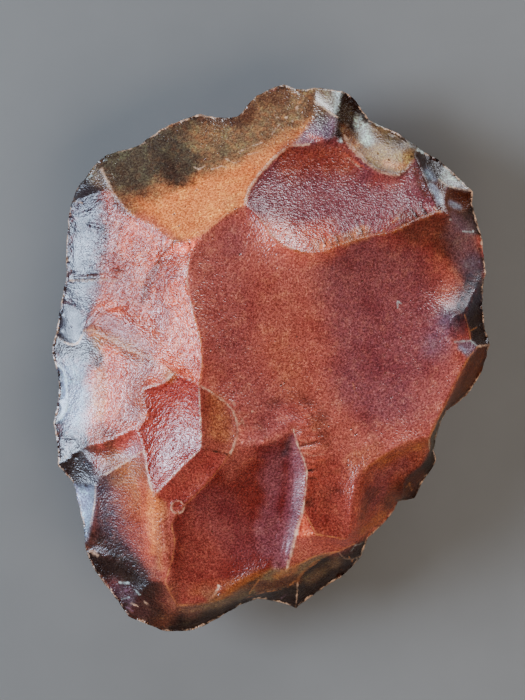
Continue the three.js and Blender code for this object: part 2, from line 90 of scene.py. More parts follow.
UPPER_POINTS = {
    # round the rind that is left at the tip
    "a1": [-388, 343, 51], "a2": [-366, 308, 57], "a3": [-345, 285, 61], "a4": [-318, 262, 65],
    "a5": [-265, 238, 73], "a6": [-205, 208, 83], "a7": [-150, 222, 88], "a8": [-100, 256, 86],
    "a9": [-58, 274, 84], "a10": [-48, 305, 79], "a11": [0, 355, 70], "a12": [42, 384, 64],
    "a13": [92, 432, 56], "a14": [99, 467, 51],
    # the crest on the left of the great central scar
    "c1": [-180, 180, 92], "c2": [-187, 135, 95], "c3": [-172, 80, 97.5], "c4": [-156, 30, 99],
    "c5": [-153, -15, 100], "c6": [-160, -46, 99],
    # round the scar above the centre
    "u1": [-25, 248, 87], "u2": [8, 213, 89], "u3": [50, 193, 89], "u4": [100, 188, 88],
    "u5": [150, 202, 85], "u6": [205, 216, 81], "u7": [265, 225, 79], "u8": [320, 246, 74],
    "u9": [378, 265, 66], "u10": [85, 386, 64],
    # the chips and the notch right of the tip
    "n1": [154, 462, 50], "n2": [150, 438, 53], "n3": [142, 400, 60], "n4": [203, 424, 47],
    "n5": [172, 387, 60], "n6": [205, 360, 61], "n7": [245, 338, 61], "n8": [290, 332, 59],
    "n9": [318, 354, 54], "n10": [325, 376, 51],
    # the retouched right shoulder
    "o1": [350, 316, 62], "o2": [382, 326, 51], "o3": [402, 314, 50], "o4": [392, 286, 60],
    "o5": [398, 262, 64], "o6": [440, 268, 48], "o7": [406, 248, 64], "o8": [430, 229, 56],
    # small facets at the right corner
    "r1": [465, 118, 50], "r2": [437, 80, 61], "r3": [405, 68, 68], "r4": [412, 30, 70],
    "r5": [452, 33, 58], "r6": [450, 50, 55], "r7": [470, 57, 48], "r8": [468, 22, 57],
    # the crest over the steep lower right side
    "v1": [442, 0, 68], "v2": [422, -28, 71], "v3": [398, -68, 74], "v4": [375, -105, 76],
    "v5": [352, -142, 78], "v6": [300, -149, 81], "v7": [250, -172, 83], "v8": [205, -200, 84],
    "v9": [190, -245, 83], "v10": [183, -300, 78],
    "t1": [357, -165, 64], "t2": [338, -190, 67], "t3": [302, -214, 67], "t4": [297, -243, 59],
    # round the deep scar at the lower middle
    "p1": [-40, -151, 94.5], "p2": [0, -147, 94], "p3": [48, -124, 93], "p4": [58, -152, 91],
    "p5": [77, -195, 89], "p6": [75, -233, 87], "p7": [70, -266, 84.5], "p8": [52, -319, 78],
    "p9": [45, -345, 76], "p10": [34, -377, 73], "p11": [0, -374, 74], "p12": [-62, -402, 69],
    "p13": [-125, -436, 61], "p14": [-213, -447, 55], "p15": [-225, -428, 60], "p16": [-240, -400, 67],
    "p17": [-225, -365, 70], "p18": [-217, -325, 74], "p19": [-222, -292, 78], "p20": [-200, -265, 82],
    "p21": [-135, -212, 89], "p22": [-93, -168, 93], "p23": [-82, -150, 93.5],
    # small facets left of the centre
    "j1": [-125, -62, 97.5], "j2": [-88, -88, 96], "j3": [-75, -122, 94.5], "j4": [-155, -157, 95],
    "j5": [-157, -102, 96], "j6": [-190, -33, 96], "j7": [-218, -25, 92], "j8": [-240, -42, 89],
    "j9": [-288, -58, 82], "j10": [-278, -100, 81], "j11": [-300, -121, 77], "j12": [-284, -163, 78],
    "j13": [-262, -243, 83], "j14": [-205, -195, 91], "j15": [-245, -258, 81.5],
    # the foot of the steep wall on the right of the deep scar
    "q1": [36, -165, 86], "q2": [38, -210, 82.5], "q3": [28, -265, 78.5], "q4": [12, -325, 73.5],
    # the steep facets along the bottom
    "s1": [100, -311, 82.5], "s2": [165, -321, 76], "s3": [188, -334, 60], "s4": [150, -346, 67],
    "s5": [100, -353, 69], "s6": [58, -369, 70], "s7": [172, -363, 54], "s8": [110, -360, 62],
    "s9": [72, -384, 59], "s10": [60, -406, 54], "s11": [-10, -421, 55], "s12": [-51, -426, 56],
    "s13": [-25, -394, 68], "s14": [-85, -441, 50],
    # the lower left flank
    "z1": [-365, -146, 66], "z2": [-306, -173, 72], "z3": [-350, -196, 64], "z4": [-387, -213, 57],
    "z5": [-400, -229, 54], "z6": [-403, -262, 52], "z7": [-413, -302, 49], "z8": [-276, -205, 79],
    "z9": [-252, -285, 80], "z10": [-244, -340, 76], "z11": [-432, -161, 51], "y1": [-362, -368, 50],
    "y2": [-308, -389, 54], "y3": [-272, -402, 60], "y4": [-306, -431, 51],
    # the upper left flank
    "d1": [-442, 291, 46], "d2": [-335, 156, 64], "d3": [-440, 86, 48], "d4": [-428, 51, 51],
    "d5": [-450, 26, 48], "d6": [-385, 87, 59], "d7": [-330, 62, 69], "d8": [-272, 26, 79.5],
    "d9": [-400, 50, 58], "d10": [-330, 20, 70], "d11": [-262, 0, 82], "w1": [-476, -25, 45],
    "w2": [-467, -62, 46], "w3": [-472, -98, 45],
}

# Stone colours, as display red, green and blue.
ORANGE_RED = (178, 96, 82)
BRICK = (154, 80, 64)
RED_BROWN = (154, 70, 58)
PURPLE_RED = (134, 74, 78)
DEEP_RED = (118, 42, 33)
PINK_RED = (228, 114, 84)
ROSE = (172, 78, 66)
LILAC = (132, 100, 112)
RUST = (224, 134, 80)
AMBER = (166, 100, 58)
GOLD = (158, 122, 78)
TAN = (210, 140, 90)
CREAM = (222, 184, 156)
PALE = (182, 192, 186)
# Used only for painted highlights and painted reflections of the sky.
BLUE_HIGHLIGHT = (168, 182, 202)
SMOKE = (122, 94, 68)
OLIVE = (82, 68, 54)
DARK_BROWN = (92, 50, 34)
SLATE = (60, 54, 62)
BLACK_BROWN = (50, 33, 26)

# The scars of the upper face: the points round each one, how deep its bowl is in mm, and its colour.
UPPER_SCARS = {
    "rind": ("e58-e63 e0-e2 a14 a13 a12 a11 a10 a9 a8 a7 a6 a5 a4 a3 a2 a1 e57", 0.6, RUST),
    "pale_chip": ("e2 e3 n1 n2 a14", 0.3, PALE),
    "tip_patch": ("a14 n2 n3 u10 a12 a13", 0.5, LILAC),
    "notch": ("e3-e5 n4 n5 n3 n2 n1", 0.5, BLACK_BROWN),
    "translucent_chip": ("e5-e8 n10 n9 n8 n7 n6 n5 n4", 0.8, SMOKE),
    "upper_scar": ("a9 a10 a11 a12 u10 n3 n5 n6 n7 n8 n9 n10 o1 u9 u8 u7 u6 u5 u4 u3 u2 u1", 1.9, PURPLE_RED),
    "shoulder_wedge": ("n10 e8 e9 e10 o2 o1", 0.6, BLACK_BROWN),
    # The pale of shoulder_rim is a painted highlight.
    "shoulder_rim": ("e10 e11 o3 o2", 0.3, PALE),
    "shoulder_step": ("o1 o2 o3 o4 o5 u9", 0.5, DARK_BROWN),
    "shoulder_scoop": ("o3 e11 e12 o6 o5 o4", 0.9, DARK_BROWN),
    "shoulder_foot": ("o5 o6 e12 e13 e14 o8 o7", 0.5, BLACK_BROWN),
    "central_scar": (
        "a7 a8 a9 u1 u2 u3 u4 u5 u6 u7 u8 u9 o5 o7 o8 e14 e15 r1 r2 r3 r4 v1 v2 v3 v4 v5 v6 v7 v8 v9 v10 "
        "s2 s1 p7 p6 p5 p4 p3 p2 p1 p23 j3 j2 j1 c6 c5 c4 c3 c2 c1", 2.7, ORANGE_RED),
    "corner_dark": ("r1 e15 e16 e17 r7 r6 r2", 0.9, BLACK_BROWN),
    "corner_amber": ("r2 r6 r5 r4 r3", 0.6, RED_BROWN),
    "corner_notch": ("r6 r7 e17 e18 r8 r5", 0.8, BLACK_BROWN),
    "corner_bright": ("r4 r5 r8 v1", 0.4, LILAC),
    "right_side": ("r8 e18-e21 v4 v3 v2 v1", 0.5, DARK_BROWN),
    "right_sliver": ("v4 e21-e23 t1 v5", 0.2, OLIVE),
    "lower_right_scar": ("v5 t1 t2 t3 t4 e27-e29 s3 s2 v10 v9 v8 v7 v6", 1.2, BRICK),
    "lower_right_edge": ("t1 e23-e27 t4 t3 t2", 0.5, BLACK_BROWN),
    "deep_scar": ("p23 p1 p2 p3 q1 q2 q3 q4 p11 p12 p13 p14 p15 p16 p17 p18 p19 p20 p21 p22", 1.0, DEEP_RED),
    "deep_wall": ("p3 p4 p5 p6 p7 p8 p9 p10 p11 q4 q3 q2 q1", 0.3, PURPLE_RED),
    "triangle": ("p7 s1 p8", 0.2, PINK_RED),
    "amber_step": ("p8 s1 s2 s3 s4 s5 s6 p10 p9", 0.4, ORANGE_RED),
    "bottom_ledge": ("p11 p10 s6 s5 s4 s8 s9 s10 s11 s12 s13", 0.3, SMOKE),
    "bottom_right": ("s4 s7 e30-e33 s10 s9 s8", 0.6, BLACK_BROWN),
    "bottom_nick": ("s4 s3 e29 e30 s7", 0.3, BLACK_BROWN),
    "bottom_left": ("s12 s11 s10 e33-e36 s14", 0.4, BLACK_BROWN),
    "butt": ("p11 s13 s12 s14 e36-e38 p14 p13 p12", 0.4, BLACK_BROWN),
    "butt_corner": ("p16 p15 p14 e38 e39 y4 y3", 0.4, DARK_BROWN),
    "butt_left": ("e42 y1 y2 y3 y4 e39-e41", 0.8, BLACK_BROWN),
    "brown_facet": ("c6 j1 j2 j3 p23 p22 j4 j5", 0.4, BRICK),
    "diamond_scar": ("c6 j5 j4 j14 j13 z8 j12 j11 j10 j9 j8 j7 j6", 1.6, ROSE),
    "red_facet": ("j4 p22 p21 p20 j15 j13 j14", 0.3, RED_BROWN),
    "red_sliver": ("j13 j15 p20 p19 p18 p17 p16 z10 z9", 0.3, ORANGE_RED),
    "upper_left_scar": ("e53-e55 d1 a2 a3 a4 a5 a6 a7 c1 c2 d2", 0.8, PINK_RED),
    "left_corner": ("e56 e57 a1 a2 d1 e55", 0.4, OLIVE),
    "mid_left_scar": ("e52 e53 d2 c2 c3 c4 c5 c6 j6 j7 d11 d8 d7 d6 d4 d3", 1.2, PINK_RED),
    "pale_left_chip": ("e51 e52 d3 d4 d5", 0.4, SLATE),
    "fan_scar": ("d4 d6 d7 d8 d11 d10 d9", 0.3, ORANGE_RED),
    "left_scar": ("e51 d5 d4 d9 d10 d11 j7 j8 j9 j10 j11 z1 z11 e45-e47 w3 w2 w1 e49 e50", 1.5, PINK_RED),
    "left_crescent": ("e47-e49 w1 w2 w3", 0.1, SLATE),
    "left_trough": ("z11 z1 j11 j12 z2 z3 z4", 1.0, ROSE),
    "left_dark_chip": ("e45 z11 z4 z5 e44", 0.5, BLACK_BROWN),
    # This chip's blue-white colour is a painted reflection of the sky.
    "left_pale_chip": ("e44 z5 z6 z7 e42 e43", 0.3, BLUE_HIGHLIGHT),
    "lower_left_scar": ("z5 z4 z3 z2 j12 z8 j13 z9 z10 p16 y3 y2 y1 e42 z7 z6", 1.3, BRICK),
}

# The under face: ridges run from the flat rest face out to the edge. Each row is the edge point that a
# ridge reaches, the share of the way out where it leaves the rest face, how far it bends aside on its
# way, as a share of its run, and the depth of the scar after it in mm.
REST_CENTRE = [5, -15, 0]
UNDER_RIDGES = [
    [2, 0.44, 0.06, 1.1], [8, 0.38, -0.08, 1.0], [14, 0.46, 0.05, 1.6], [20, 0.42, -0.1, 1.1],
    [26, 0.36, 0.07, 1.5], [33, 0.43, -0.05, 1.3], [38, 0.5, 0.1, 1.2], [44, 0.4, -0.08, 1.7],
    [51, 0.47, 0.04, 1.3], [56, 0.4, -0.06, 1.0], [61, 0.37, 0.09, 1.5],
]
BEND_AT = 0.5
BEND_HEIGHT = 0.3
UNDER_COLOURS = [RED_BROWN, PURPLE_RED, ORANGE_RED, DEEP_RED]

# Ridges that have hardly any crease: the surface rolls over them. Each run has a reach in mm.
SOFT_RIDGES = [
    ("d2 c2", 3.0), ("d6 d7 d8 d11", 1.2), ("p3 q1 q2 q3 q4 p11", 0.9), ("y1 y2 y3", 1.6),
    ("j13 z9 z10 p16", 0.9), ("o7 o8", 0.8), ("p2 p3", 2.0), ("v10 v9 v8", 0.8), ("p11 p12 p13", 0.7),
]

# How coarse a scar's grain is, where it isn't 1.
GRIT = {
    "notch": 2.0, "rind": 0.8, "pale_chip": 0.4, "translucent_chip": 0.5, "left_crescent": 0.4,
    "pale_left_chip": 0.5, "left_pale_chip": 0.4, "deep_wall": 0.5, "amber_step": 0.6, "right_side": 0.6,
    "lower_right_scar": 0.8, "deep_scar": 0.7, "bottom_ledge": 0.6, "butt": 0.7, "shoulder_rim": 0.4,
    "upper_scar": 1.12, "upper_left_scar": 1.3, "left_scar": 1.2, "mid_left_scar": 1.3, "diamond_scar": 1.2,
    "lower_left_scar": 0.8,
}

# Spots where the grain is polished away: the points of a path, the half width and the softness of the
# border in mm, and what is left of the grain.
POLISHED = [
    ([(-450, 270), (-455, 200), (-455, 100), (-465, 0), (-460, -120), (-460, -160)], 4.5, 2.5, 0.45),
    ([(458, 190), (448, 120), (425, 80)], 3.0, 3.0, 0.35),
    ([(40, -105)], 1.5, 3.0, 0.3), ([(54, -200), (48, -260), (34, -340)], 1.5, 1.0, 0.5),
    ([(-425, -240), (-420, -320)], 2, 1.5, 0.4),
]

# How strongly a scar shines, where it isn't 1, and spots that shine more or less, as in POLISHED.
SHEEN = {
    "notch": 0.15, "translucent_chip": 0.3, "lower_left_scar": 0.7, "shoulder_wedge": 0.6, "left_scar": 1.15,
    "upper_left_scar": 1.1, "mid_left_scar": 1.1, "shoulder_scoop": 0.6, "fan_scar": 0.6, "butt_left": 0.6,
}
SHINING = [
    ([(55, -108)], 2.5, 3.0, 0.3), ([(405, 70), (425, 90), (445, 115)], 2.5, 3.0, 0.35),
    ([(25, 212), (55, 202), (100, 202)], 1.4, 3.0, 1.6), ([(40, 365), (160, 360), (250, 325)], 3.0, 5.0, 0.5),
    ([(-155, -60), (-225, -60)], 2.5, 4.0, 0.5), ([(-222, -180), (-182, -140)], 2.0, 4.0, 2.6),
    ([(-190, 130), (-175, 60), (-168, 0)], 0.8, 2.6, 1.6), ([(-345, -205), (-300, -260)], 3.0, 3.0, 0.45),
    ([(-340, 0), (-318, -50)], 2.5, 4.0, 1.6), ([(100, 275), (250, 262)], 3.5, 4.0, 0.5),
    ([(-445, 290), (-450, 180), (-455, 60), (-470, -10)], 5.0, 3.0, 0.78),
    ([(-395, -300), (-365, -350)], 2.0, 3.0, 0.45),
]

# Lines along ridges. Pale ones are partly wear and partly painted highlight where a ridge catches the
# light; the run of points, the strength, the half width in mm and the colour.
WORN_AND_LIT_RIDGES = [
    ("a9 a8 a7", 0.7, 0.3, TAN), ("c1 c2 c3", 0.5, 0.25, CREAM), ("c3 c4 c5 c6", 0.6, 0.25, TAN),
    ("c6 j1 j2", 0.6, 0.3, CREAM), ("j2 j3 p23 p22", 0.7, 0.34, CREAM), ("c6 j5 j4", 0.7, 0.25, CREAM),
    # j4 p22 is painted shade: a dark line under the small step below the brown facet.
    ("j4 p22", 0.9, 0.34, BLACK_BROWN), ("j4 j14 j13", 0.6, 0.22, CREAM),
    ("p22 p21 p20 p19", 0.5, 0.22, AMBER), ("p19 p18 p17 p16", 0.6, 0.22, TAN),
    ("u1 u2 u3", 0.5, 0.5, CREAM), ("u3 u4 u5 u6 u7 u8 u9", 0.6, 0.6, AMBER),
    ("a1 a2 a3", 0.6, 0.5, CREAM), ("a3 a4 a5 a6", 0.35, 0.35, TAN), ("a9 a10 a11 a12 u10", 0.65, 0.4, CREAM),
    ("p3 p4 p5 p6 p7", 0.85, 0.24, CREAM), ("p7 p8 p9 p10", 0.9, 0.42, CREAM), ("p7 s1 s2", 0.7, 0.24, TAN),
    ("p10 s6 s5 s4 s3", 0.65, 0.24, TAN), ("p11 p12 p13", 0.6, 0.5, AMBER), ("p13 p14", 0.4, 0.3, TAN),
    ("p11 s13 s12", 0.5, 0.22, TAN), ("r8 v1 v2 v3 v4 v5", 0.6, 0.28, TAN), ("v5 v6 v7 v8", 0.35, 0.4, AMBER),
    ("v5 t1", 0.6, 0.25, CREAM), ("e18 r8", 0.8, 0.35, CREAM), ("d4 d9 d10 d11 j7", 0.45, 0.35, TAN),
    ("j7 j8 j9", 0.75, 0.28, CREAM), ("j7 j6 c6", 0.4, 0.22, TAN), ("j9 j10 j11 j12", 0.35, 0.25, AMBER),
    ("j12 z2 z3 z4", 0.7, 0.28, CREAM), ("j12 z8 j13", 0.7, 0.3, CREAM), ("z5 z6 z7", 0.6, 0.22, CREAM),
    ("w1 w2 w3", 0.9, 0.28, PALE), ("e49 w1", 0.9, 0.28, PALE), ("w3 e47", 0.8, 0.28, PALE),
    ("e51 d5 d4", 0.9, 0.3, CREAM), ("n2 a14", 0.7, 0.35, CREAM), ("n5 n6 n7 n8", 0.75, 0.35, CREAM),
    ("s10 e33", 0.6, 0.24, CREAM), ("s4 s8 s9 s10", 0.35, 0.3, TAN), ("s4 s7 e30", 0.3, 0.22, CREAM),
    ("p16 p15 p14", 0.4, 0.25, TAN), ("o3 o4 o5", 0.5, 0.22, LILAC), ("o2 o3 e11", 0.75, 0.25, CREAM),
    ("r2 r6 r7", 0.4, 0.22, TAN), ("r4 r5 r8", 0.7, 0.3, PALE), ("r5 r6", 0.5, 0.25, TAN),
    ("n10 o1", 0.8, 0.5, BLACK_BROWN),
    ("o1 u9", 0.6, 0.3, BLACK_BROWN), ("z4 z3", 0.5, 0.2, BLACK_BROWN),
]

# Scratches, crushed spots and dark cracks that aren't on a ridge, and painted highlights and painted shade
# where small relief catches or loses the light: the points of a path, the strength, the half width in mm
# and the colour. A path of one point is a speck.
STREAKS = [
    # on the rind
    ([(-72, 374), (-45, 383), (-22, 390)], 0.8, 0.26, CREAM),
    ([(-176, 346), (-163, 341), (-150, 348)], 0.7, 0.24, CREAM),
    ([(-136, 341), (-112, 346), (-102, 343)], 0.6, 0.24, CREAM),
    ([(-102, 360), (-85, 352), (-72, 355)], 0.7, 0.24, CREAM),
    ([(0, 404), (10, 417), (18, 424)], 0.5, 0.24, CREAM), ([(-60, 366), (-30, 372)], 0.5, 0.22, CREAM),
    ([(-232, 316), (-200, 313), (-172, 315)], 0.85, 0.45, BLACK_BROWN),
    ([(-152, 325)], 0.9, 0.45, DARK_BROWN),
    ([(-77, 354)], 0.8, 0.4, DARK_BROWN), ([(-112, 357)], 0.8, 0.45, DARK_BROWN),
    ([(-104, 348)], 0.7, 0.4, OLIVE),
    ([(13, 438), (16, 438)], 0.9, 0.36, CREAM), ([(32, 438), (36, 438)], 0.9, 0.34, CREAM),
    ([(58, 455)], 0.8, 0.45, CREAM),
    ([(66, 466)], 0.6, 0.4, TAN), ([(48, 432)], 0.7, 0.36, CREAM), ([(-152, 430)], 0.6, 0.5, TAN),
    # the notch and the chips beside it
    # Painted shade: black along the notch's steep left wall and beside the top of the notch.
    ([(186, 478), (170, 474), (158, 464), (152, 448), (147, 436)], 1.0, 0.75, BLACK_BROWN),
    ([(147, 436), (141, 418), (138, 400), (130, 394)], 0.9, 0.42, BLACK_BROWN),
    ([(196, 466), (206, 450), (212, 438)], 0.95, 0.95, BLACK_BROWN),
    ([(222, 440), (238, 430), (258, 422)], 0.8, 0.3, PALE),
    ([(312, 397), (330, 388), (345, 376)], 0.95, 0.75, PALE),
    ([(262, 418), (290, 411), (310, 402)], 0.6, 0.22, CREAM),
    ([(165, 402), (180, 385), (205, 365)], 0.5, 0.6, CREAM), ([(156, 394)], 0.9, 0.7, PALE),
    # The pink line along the lip below n5 to n7 is a painted highlight.
    ([(166, 371), (195, 352), (234, 336)], 0.55, 0.3, PINK_RED), ([(172, 362), (205, 341)], 0.5, 0.22, CREAM),
    # the shoulder
    ([(386, 361), (420, 335), (455, 307)], 0.8, 0.24, CREAM),
    ([(322, 366), (340, 374), (358, 366)], 0.95, 0.9, BLACK_BROWN),
    ([(437, 231), (463, 232)], 1.0, 0.3, PALE), ([(405, 250)], 0.7, 0.35, PALE),
    ([(366, 272), (383, 263)], 0.7, 0.28, CREAM),
    ([(262, 229), (285, 241), (300, 250)], 0.6, 0.4, PURPLE_RED),
    ([(248, 226), (262, 240), (285, 252)], 0.5, 0.3, TAN),
    # the left margin
    # The crack's step: a dark line of painted shadow under it and a cream painted highlight on its edge
    # below.
    ([(-455, 153), (-430, 150), (-395, 152), (-355, 157), (-338, 160)], 0.9, 0.42, DARK_BROWN),
    ([(-462, 143), (-420, 142), (-380, 145), (-352, 141)], 0.75, 0.36, CREAM),
    ([(-420, 247), (-402, 237), (-385, 238), (-362, 245)], 0.8, 0.26, BLACK_BROWN),
    ([(-440, 266), (-432, 282), (-408, 282)], 0.6, 0.22, BLACK_BROWN),
    ([(-352, 221), (-326, 226)], 0.6, 0.2, BLACK_BROWN),
    ([(-420, 182), (-408, 164)], 0.6, 0.18, BLACK_BROWN),
    ([(-480, 104), (-460, 95), (-442, 85)], 0.7, 0.22, BLACK_BROWN),
    ([(-428, 50), (-412, 68), (-395, 82), (-370, 88)], 0.7, 0.24, BLACK_BROWN),
    ([(-345, 232), (-338, 238)], 0.6, 0.25, BLACK_BROWN),
    ([(-456, 304), (-425, 322), (-398, 341), (-374, 362), (-350, 372)], 0.85, 0.34, BLACK_BROWN),
    # The pale strokes on the bevel at the left corner are painted highlight.
    ([(-432, 322), (-412, 334)], 0.9, 0.42, PALE), ([(-398, 360), (-378, 364)], 0.8, 0.34, PALE),
    ([(-470, 283), (-448, 288), (-435, 284)], 0.6, 0.26, CREAM),
    ([(-462, 275), (-445, 281)], 0.7, 0.3, BLACK_BROWN),
    ([(-495, -150), (-478, -165), (-465, -176), (-450, -178)], 0.85, 0.34, BLACK_BROWN),
    ([(-474, -182), (-462, -170)], 0.6, 0.26, CREAM),
    ([(-470, -150), (-455, -142), (-440, -150)], 0.6, 0.5, BLACK_BROWN),
    ([(-385, -22), (-368, -8), (-352, -14)], 0.3, 0.3, BLACK_BROWN), ([(-350, -31)], 0.7, 0.4, DARK_BROWN),
    ([(-360, 40), (-330, 24), (-318, 20)], 0.5, 0.28, CREAM), ([(-395, 48), (-360, 33)], 0.5, 0.24, TAN),
    ([(-412, -185), (-392, -205), (-380, -214)], 0.7, 0.24, BLACK_BROWN),
    # the crushed spots at the butt
    ([(-347, -409), (-326, -409)], 1.0, 0.42, PALE), ([(-334, -424), (-322, -418)], 0.8, 0.3, LILAC),
    ([(-312, -420), (-300, -428)], 0.8, 0.32, PALE), ([(-346, -441), (-326, -436)], 0.7, 0.28, PALE),
    ([(-320, -446), (-306, -452)], 0.8, 0.3, CREAM), ([(-333, -455), (-317, -461)], 0.6, 0.28, LILAC),
    # The cream stroke at the butt's left end, the second one here, is a painted highlight.
    ([(-290, -440), (-284, -447)], 0.7, 0.34, CREAM), ([(-414, -352), (-398, -358)], 0.8, 0.6, CREAM),
    ([(-330, -432), (-310, -436)], 0.9, 0.3, BLACK_BROWN),
    ([(-340, -450), (-325, -447)], 0.9, 0.3, BLACK_BROWN),
    # along the bottom
    ([(-127, -422), (-119, -409)], 1.0, 0.36, CREAM), ([(22, -438), (36, -428)], 0.7, 0.3, LILAC),
    ([(4, -442), (36, -452)], 0.7, 0.22, PALE), ([(180, -348), (192, -337), (210, -336)], 0.6, 0.22, PALE),
    ([(176, -358), (187, -372)], 0.6, 0.22, TAN), ([(196, -366), (212, -352)], 0.6, 0.22, PALE),
    ([(38, -414), (75, -385), (112, -360)], 0.4, 0.28, TAN),
    ([(-58, -436), (-20, -424), (22, -418)], 0.5, 0.24, TAN),
    ([(186, -346), (196, -356), (205, -348)], 0.9, 0.3, BLACK_BROWN),
    ([(305, -232), (314, -225), (320, -240)], 0.5, 0.26, TAN),
    # by the deep scar and the small facets
    # Pale and dark lines right of the deep wall: painted light and shade on its hackles.
    ([(62, -143), (78, -146), (96, -140)], 0.4, 0.2, CREAM),
    ([(66, -158), (84, -157), (102, -155)], 0.5, 0.2, CREAM),
    ([(72, -166), (94, -171), (116, -169)], 0.45, 0.2, CREAM),
    ([(80, -178), (100, -180), (118, -177)], 0.4, 0.2, PINK_RED),
    ([(84, -190), (100, -191)], 0.5, 0.24, PINK_RED), ([(84, -93), (100, -91)], 0.5, 0.3, PINK_RED),
    ([(68, -163), (90, -162)], 0.6, 0.24, DARK_BROWN), ([(70, -150), (98, -148)], 0.5, 0.24, DARK_BROWN),
    ([(74, -184), (96, -186)], 0.5, 0.24, DARK_BROWN), ([(182, -42), (187, -60), (196, -72)], 0.5, 0.24, TAN),
    ([(-76, -95), (-68, -94)], 0.8, 0.36, CREAM), ([(-70, -114)], 0.8, 0.4, CREAM),
    ([(-42, -92)], 0.6, 0.34, CREAM),
    ([(-88, -74), (-82, -80)], 0.7, 0.32, CREAM), ([(-66, -104), (-60, -118)], 0.5, 0.26, CREAM),
    ([(130, -19)], 0.7, 0.4, TAN),
    ([(-52, -108), (-46, -122), (-40, -132)], 0.35, 0.26, PINK_RED),
    ([(-232, 217), (-230, 203)], 0.5, 0.24, PURPLE_RED),
    ([(-246, 216), (-247, 200)], 0.45, 0.24, PURPLE_RED),
    ([(-218, 216), (-213, 204)], 0.45, 0.24, PURPLE_RED),
    ([(284, 105), (284, 92)], 0.7, 0.24, PALE), ([(285, 104), (292, 99)], 0.6, 0.24, PALE),
]
